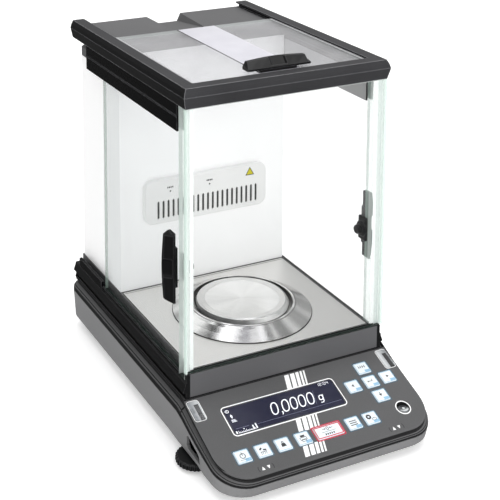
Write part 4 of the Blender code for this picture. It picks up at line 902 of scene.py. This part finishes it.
# frosted borders of the top door glass, beside its rails
for tag, u0, u1 in (("left", -91.6, -84.6), ("right", 86.6, 91.6)):
    bm = bmesh.new()
    slab(bm, rect(u0, u1, tlo.y / MM + 0.6, thi.y / MM - 0.6, 0.4, 2),
         lambda u, v, h: Vector((u * MM, v * MM, thi.z + h * MM)), 0.02, 0.08)
    fm_ = Nodes("frosted_border_" + tag)
    nz = fm_.noise(500.0, 2.0, 0.5)
    clr = fm_.add("ShaderNodeBsdfTransparent")
    mxs = fm_.add("ShaderNodeMixShader")
    mxs.inputs[0].default_value = 0.7
    fm_.put(mxs.inputs[1], clr.outputs[0])
    fm_.put(mxs.inputs[2], fm_.principled(fm_.mix(fm_.span(nz, 0.3, 0.7, 0.0, 1.0), rgb("c6c6c8"), rgb("d6d6d8")), 0.4))
    new_object("top_door_border_" + tag, bm, [fm_.done(mxs.outputs[0])], "top_door")
bm = bmesh.new()
slab(bm, rect(-19.8, -18.7, tlo.y / MM + 4.0, thi.y / MM - 0.8),
     lambda u, v, h: Vector((u * MM, v * MM, thi.z + h * MM)), 0.02, 0.14)
new_object("top_door_hairline", bm, [INK_DARK], "top_door")

# ------------------------------------------------------------------ seals of the front glass
flo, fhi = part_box("front_glass")
bm = bmesh.new()
slab(bm, rect(-95.0, 95.0, 0.0, 1.3), lambda u, v, h: Vector((u * MM, fhi.y + h * MM, flo.z + v * MM)), 0.02, 0.7)
new_object("front_seal", bm, [RUBBER], "housing")

# dark joint round the chamber floor, and a painted shade line along the step in front of the rear wall
glo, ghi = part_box("floor_plate")
bm = bmesh.new()
x0, x1, y0, y1 = glo.x / MM, ghi.x / MM, glo.y / MM, ghi.y / MM
ring_slab(bm, rect(x0 + 0.2, x1 - 0.2, y0 + 0.2, y1 - 0.2), rect(x0 + 1.3, x1 - 1.3, y0 + 1.1, y1 - 1.7),
          lambda u, v, h: Vector((u * MM, v * MM, ghi.z + h * MM)), 0.02, 0.12)
new_object("floor_joint", bm, [INK_DARK], "housing")
bm = bmesh.new()
slab(bm, rect(x0 + 1.5, x1 - 1.5, y1 - 4.6, y1 - 3.9), lambda u, v, h: Vector((u * MM, v * MM, ghi.z + h * MM)), 0.02, 0.12)
new_object("floor_crease", bm, [ink("floor_crease", rgb("8d8c88"), rough=0.3)], "housing")
# painted shadow line under the draft ring's lower edge: a thin dark ring in rubber material
rlo_, rhi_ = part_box("draft_ring")
bm = bmesh.new()
R0 = (rhi_.x - rlo_.x) / 2 / MM
ring_slab(bm, ellipse(PAN_CX / MM, PAN_CY / MM, R0 + 0.5, R0 + 0.5, 72), ellipse(PAN_CX / MM, PAN_CY / MM, R0 - 1.2, R0 - 1.2, 72),
          lambda u, v, h: Vector((u * MM, v * MM, rlo_.z + h * MM)), -0.22, -0.05)
new_object("ring_painted_shadow", bm, [RUBBER], "ring")

# frosted bond strips where the front glass meets each corner post, and the outer edge guards
for side, reach in ((-1, 101.2), (1, 102.6)):
    tag = "left" if side < 0 else "right"

    def on_back(u, v, h):
        return Vector((u * MM, fhi.y + h * MM, v * MM))

    bm = bmesh.new()
    for k, (u0, u1) in enumerate(((92.0, 95.4), (95.7, 99.8))):
        x0, x1 = sorted((side * u0, side * u1))
        slab(bm, rect(x0, x1, flo.z / MM + 0.5, fhi.z / MM - 0.5), on_back, 0.04, 0.26, k)
    # the white bond strip glows faintly: painted light
    new_object("corner_bond_" + tag, bm, [ink("bond_white_" + tag, rgb("eff4f2"), rough=0.3, glow=0.10),
                                          ink("bond_grey_" + tag, rgb("e3eae7"), rough=0.3)], "housing")
    bm = bmesh.new()
    x0, x1 = sorted((side * 100.08, side * reach))
    slab(bm, rect(x0, x1, flo.y / MM, fhi.y / MM), lambda u, v, h: Vector((u * MM, v * MM, flo.z + h * MM)),
         0.3, (fhi.z - flo.z) / MM - 0.3)
    new_object("edge_guard_" + tag, bm, [glass("edge_guard_" + tag, 2, rgb("d9e8e1"), edge_alpha=0.55, mirror=0.2)],
               "housing")

# white upper liner of the chamber's rear wall
clo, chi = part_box("top_rear_cover")
bm = bmesh.new()
slab(bm, rect(-91.6, 91.6, clo.z / MM - 0.2, clo.z / MM + 23.4),
     lambda u, v, h: Vector((u * MM, clo.y - h * MM, v * MM)), 0.03, 0.16)
new_object("rear_wall_liner", bm, [WHITE], "housing")

# ------------------------------------------------------------------ ioniser details
ilo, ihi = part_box("ioniser_housing")
fy = ilo.y


def on_wall(u, v, h):
    return Vector((u * MM, fy - h * MM, v * MM))


bm = bmesh.new()
for cx in (-41.0, 2.5):  # status lamps with a row of dashes above each
    slab(bm, ellipse(cx, 173.2, 0.75, 0.75, 14), on_wall, 0.02, 0.25, 0)
    for k in range(4):
        slab(bm, rect(cx - 3.4 + 1.8 * k, cx - 2.2 + 1.8 * k, 176.4, 178.0, 0.2, 1), on_wall, 0.02, 0.08, 0)
tri = [(43.5, 174.6), (53.5, 174.6), (48.5, 183.0)]
slab(bm, tri, on_wall, 0.02, 0.12, 0)
slab(bm, [(44.7, 175.3), (52.3, 175.3), (48.5, 181.7)], on_wall, 0.12, 0.2, 1)
new_object("ioniser_marks", bm, [INK_DARK, INK_YELLOW], "housing")

# dark grille behind the slots, inside the housing
bm = bmesh.new()
slab(bm, rect(-57.0, 57.0, 144.5, 166.0, 1.0, 2), on_wall, -1.0, -0.55)
grille = Nodes("grille_dark")
g = grille.noise(600.0, 3.0, 0.7)
new_object("ioniser_grille", bm, [grille.done(grille.principled(
    grille.mix(grille.span(g, 0.35, 0.65, 0.0, 1.0), rgb("161616"), rgb("5c5c5c")), 0.6, 0.0,
    grille.bump(g, 0.4, 0.0002)))], "housing")

# ------------------------------------------------------------------ screws on the rear and underside


def screw_head(bm, at, axis, r=2.9, h=1.1, mat=0):
    """A crowned cross-recess head; axis points out of the surface."""
    axis = axis.normalized()
    u = axis.orthogonal().normalized()
    v = axis.cross(u)
    n = 24
    rings = []
    for rr, hh in ((r, 0.0), (r, h * 0.35), (r * 0.82, h * 0.8), (r * 0.5, h)):
        rings.append([bm.verts.new(at + (u * math.cos(2 * math.pi * k / n) * rr +
                                         v * math.sin(2 * math.pi * k / n) * rr + axis * hh) * MM)
                      for k in range(n)])
    for a, b in zip(rings, rings[1:]):
        for k in range(n):
            j = (k + 1) % n
            bm.faces.new((a[k], a[j], b[j], b[k])).material_index = mat
    bm.faces.new(rings[-1]).material_index = mat
    bm.faces.new(rings[0][::-1]).material_index = mat
    for k in range(2):
        d, e = (u, v) if k == 0 else (v, u)
        p = [at + (d * (r * 0.42 * sx) + e * (0.38 * sy) + axis * (h + hh)) * MM
             for hh in (0.0, 0.03) for sx, sy in ((-1, -1), (1, -1), (1, 1), (-1, 1))]
        w = [bm.verts.new(q) for q in p]
        for f in ((0, 1, 2, 3), (4, 5, 6, 7), (0, 1, 5, 4), (1, 2, 6, 5), (2, 3, 7, 6), (3, 0, 4, 7)):
            bm.faces.new([w[i] for i in f]).material_index = 1


rlo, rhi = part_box("rear_cover")
bm = bmesh.new()
for x in (-84, 84):
    for z in (84, 182, 281):
        screw_head(bm, Vector((x * MM, rhi.y, z * MM)), Vector((0, 1, 0)))
new_object("rear_screws", bm, [ALU, INK_DARK], "housing", smooth=35)

blo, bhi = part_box("base_tub")
bm = bmesh.new()
for x, y in ((-70, 110), (70, 110), (-70, -30), (70, -30), (0, 40)):
    screw_head(bm, Vector((x * MM, y * MM, 0.0099)), Vector((0, 0, -1)), 3.2, 1.2)
new_object("underside_screws", bm, [ALU, INK_DARK], "housing", smooth=35)

# pins of the power socket and of the data port
plo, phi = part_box("power_socket")
dlo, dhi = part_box("data_port")
bm = bmesh.new()
c = (plo + phi) / 2
slab(bm, ellipse(0, 0, 1.15, 1.15, 16), lambda u, v, h: Vector((c.x + u * MM, phi.y - 0.008 + h * MM, c.z + v * MM)), 0.0, 6.0)
c2 = (dlo + dhi) / 2
for row, count in ((-1.4, 4), (1.4, 5)):
    for k in range(count):
        x = (k - (count - 1) / 2) * 2.76
        slab(bm, ellipse(x, row, 0.5, 0.5, 8),
             lambda u, v, h: Vector((c2.x + u * MM, dhi.y - 0.008 + h * MM, c2.z + v * MM)), 0.0, 5.0)
new_object("connector_pins", bm, [BRASS], "housing", smooth=40)

# ------------------------------------------------------------------ stage
bm = bmesh.new()
N, R = 48, 4.0
ring0 = [bm.verts.new((0.0, 0.0, 0.0))]
prev = None
for rr in (0.3, 0.7, 1.4, 2.4, R):
    cur = [bm.verts.new((rr * math.cos(2 * math.pi * k / N), rr * math.sin(2 * math.pi * k / N), -0.0002))
           for k in range(N)]
    for k in range(N):
        j = (k + 1) % N
        bm.faces.new((ring0[0], cur[k], cur[j]) if prev is None else (prev[k], cur[k], cur[j], prev[j]))
    prev = cur
me = bpy.data.meshes.new("stage_floor")
bm.to_mesh(me)
bm.free()
floor = bpy.data.objects.new("stage_floor", me)
scene.collection.objects.link(floor)
fm = Nodes("stage_paper")
g = fm.noise(250.0, 2.0, 0.5)
# mirrored in the object, the paper is a dark table
mirrored = fm.add("ShaderNodeLightPath").outputs["Is Glossy Ray"]
paper = fm.mix(mirrored, fm.mix(g, (0.90, 0.90, 0.90), (0.93, 0.93, 0.93)), (0.10, 0.10, 0.10))
glow = fm.math("ADD", fm.math("MULTIPLY", mirrored, -0.35), 0.38)
me.materials.append(fm.done(fm.principled(paper, 0.8, 0.0, None, Emission_Color=(1.0, 1.0, 1.0), Emission_Strength=glow)))

world = bpy.data.worlds.new("studio")
scene.world = world
world.use_nodes = True
wt = world.node_tree
wt.nodes.clear()
out = wt.nodes.new("ShaderNodeOutputWorld")
bg = wt.nodes.new("ShaderNodeBackground")
tc = wt.nodes.new("ShaderNodeTexCoord")
sp = wt.nodes.new("ShaderNodeSeparateXYZ")
lp = wt.nodes.new("ShaderNodeLightPath")
wt.links.new(tc.outputs["Generated"], sp.inputs[0])


def wmath(op, x, y, clamp=False):
    n = wt.nodes.new("ShaderNodeMath")
    n.operation = op
    n.use_clamp = clamp
    for sock, val in zip(n.inputs, (x, y)):
        if hasattr(val, "is_output"):
            wt.links.new(val, sock)
        else:
            sock.default_value = val
    return n.outputs[0]


# a white studio: bright overhead and in front, dimmer on the left
sky = wmath("MULTIPLY", wmath("MAXIMUM", sp.outputs[2], 0.0), 0.60)
front = wmath("MULTIPLY", wmath("MAXIMUM", wmath("MULTIPLY", sp.outputs[1], -1.0), 0.0), 0.36)
rightw = wmath("MULTIPLY", wmath("MAXIMUM", sp.outputs[0], 0.0), 0.24)
level_w = wmath("ADD", wmath("ADD", sky, front), wmath("ADD", rightw, 0.17))
strength = wt.nodes.new("ShaderNodeMix")
strength.data_type = "FLOAT"
wt.links.new(lp.outputs["Is Camera Ray"], strength.inputs[0])
wt.links.new(level_w, strength.inputs[2])
strength.inputs[3].default_value = 1.0
bg.inputs[0].default_value = (1.0, 1.0, 1.0, 1)
wt.links.new(strength.outputs[0], bg.inputs[1])
wt.links.new(bg.outputs[0], out.inputs[0])


def area(name, at, target, size, power, color=(1, 1, 1), size_y=None):
    l = bpy.data.lights.new(name, "AREA")
    l.energy = power
    l.color = color
    l.shape = "RECTANGLE"
    l.size = size
    l.size_y = size_y or size
    o = bpy.data.objects.new(name, l)
    o.location = at
    o.rotation_euler = (Vector(target) - Vector(at)).to_track_quat("-Z", "Y").to_euler()
    scene.collection.objects.link(o)
    return o


area("soft_top", (0.1, 0.0, 1.8), (0, 0, 0.1), 1.6, 15.0)
area("soft_front", (0.2, -2.4, 0.9), (0, 0, 0.2), 1.5, 13.0, size_y=1.2).visible_glossy = False
area("soft_right", (1.8, -0.7, 0.9), (0, 0, 0.15), 0.8, 2.2, size_y=1.2).visible_glossy = False
area("soft_left", (-1.7, -0.5, 1.3), (0, 0, 0.15), 0.8, 2.0, size_y=1.2).visible_glossy = False
area("soft_rear", (0.2, 1.8, 1.3), (0, 0, 0.2), 1.4, 6.0).visible_glossy = False

scene.view_settings.view_transform = "Standard"
scene.view_settings.look = "None"

# ------------------------------------------------------------------ camera
a, b, c = math.radians(25.519216), math.radians(8.033115), math.radians(-0.1522)
fwd = Vector((math.sin(a) * math.cos(b), math.cos(a) * math.cos(b), -math.sin(b)))
right = Vector((math.cos(a), -math.sin(a), 0))
up = right.cross(fwd)
r2 = right * math.cos(c) + up * math.sin(c)
u2 = -right * math.sin(c) + up * math.cos(c)
cam_data = bpy.data.cameras.new("camera")
cam = bpy.data.objects.new("camera", cam_data)
scene.collection.objects.link(cam)
M = Matrix.Identity(4)
for i, v in enumerate((r2, u2, -fwd)):
    for j in range(3):
        M[j][i] = v[j]
HOME = Vector((-0.5215, -0.9448 + SHIFT_Y, 0.62585))
M.translation = HOME
cam.matrix_world = M
cam_data.lens = 85.676
cam_data.sensor_width = 36.0
cam_data.clip_start, cam_data.clip_end = 0.05, 30.0
cam_data.shift_x, cam_data.shift_y = 0.15474, -0.70904
scene.camera = cam

# the lens is shifted only at the camera's home place, so that any other view stays centred
for prop, value in (("shift_x", 0.15474), ("shift_y", -0.70904)):
    drv = cam_data.driver_add(prop).driver
    drv.type = "SCRIPTED"
    for nm, ch in (("x", "LOC_X"), ("y", "LOC_Y"), ("z", "LOC_Z")):
        var = drv.variables.new()
        var.name = nm
        var.type = "TRANSFORMS"
        var.targets[0].id = cam
        var.targets[0].transform_type = ch
        var.targets[0].transform_space = "WORLD_SPACE"
    drv.expression = "%.6f if (x - %.6f) * (x - %.6f) + (y - %.6f) * (y - %.6f) + (z - %.6f) * (z - %.6f) < 0.00001 else 0.0" % (
        value, HOME.x, HOME.x, HOME.y, HOME.y, HOME.z, HOME.z)
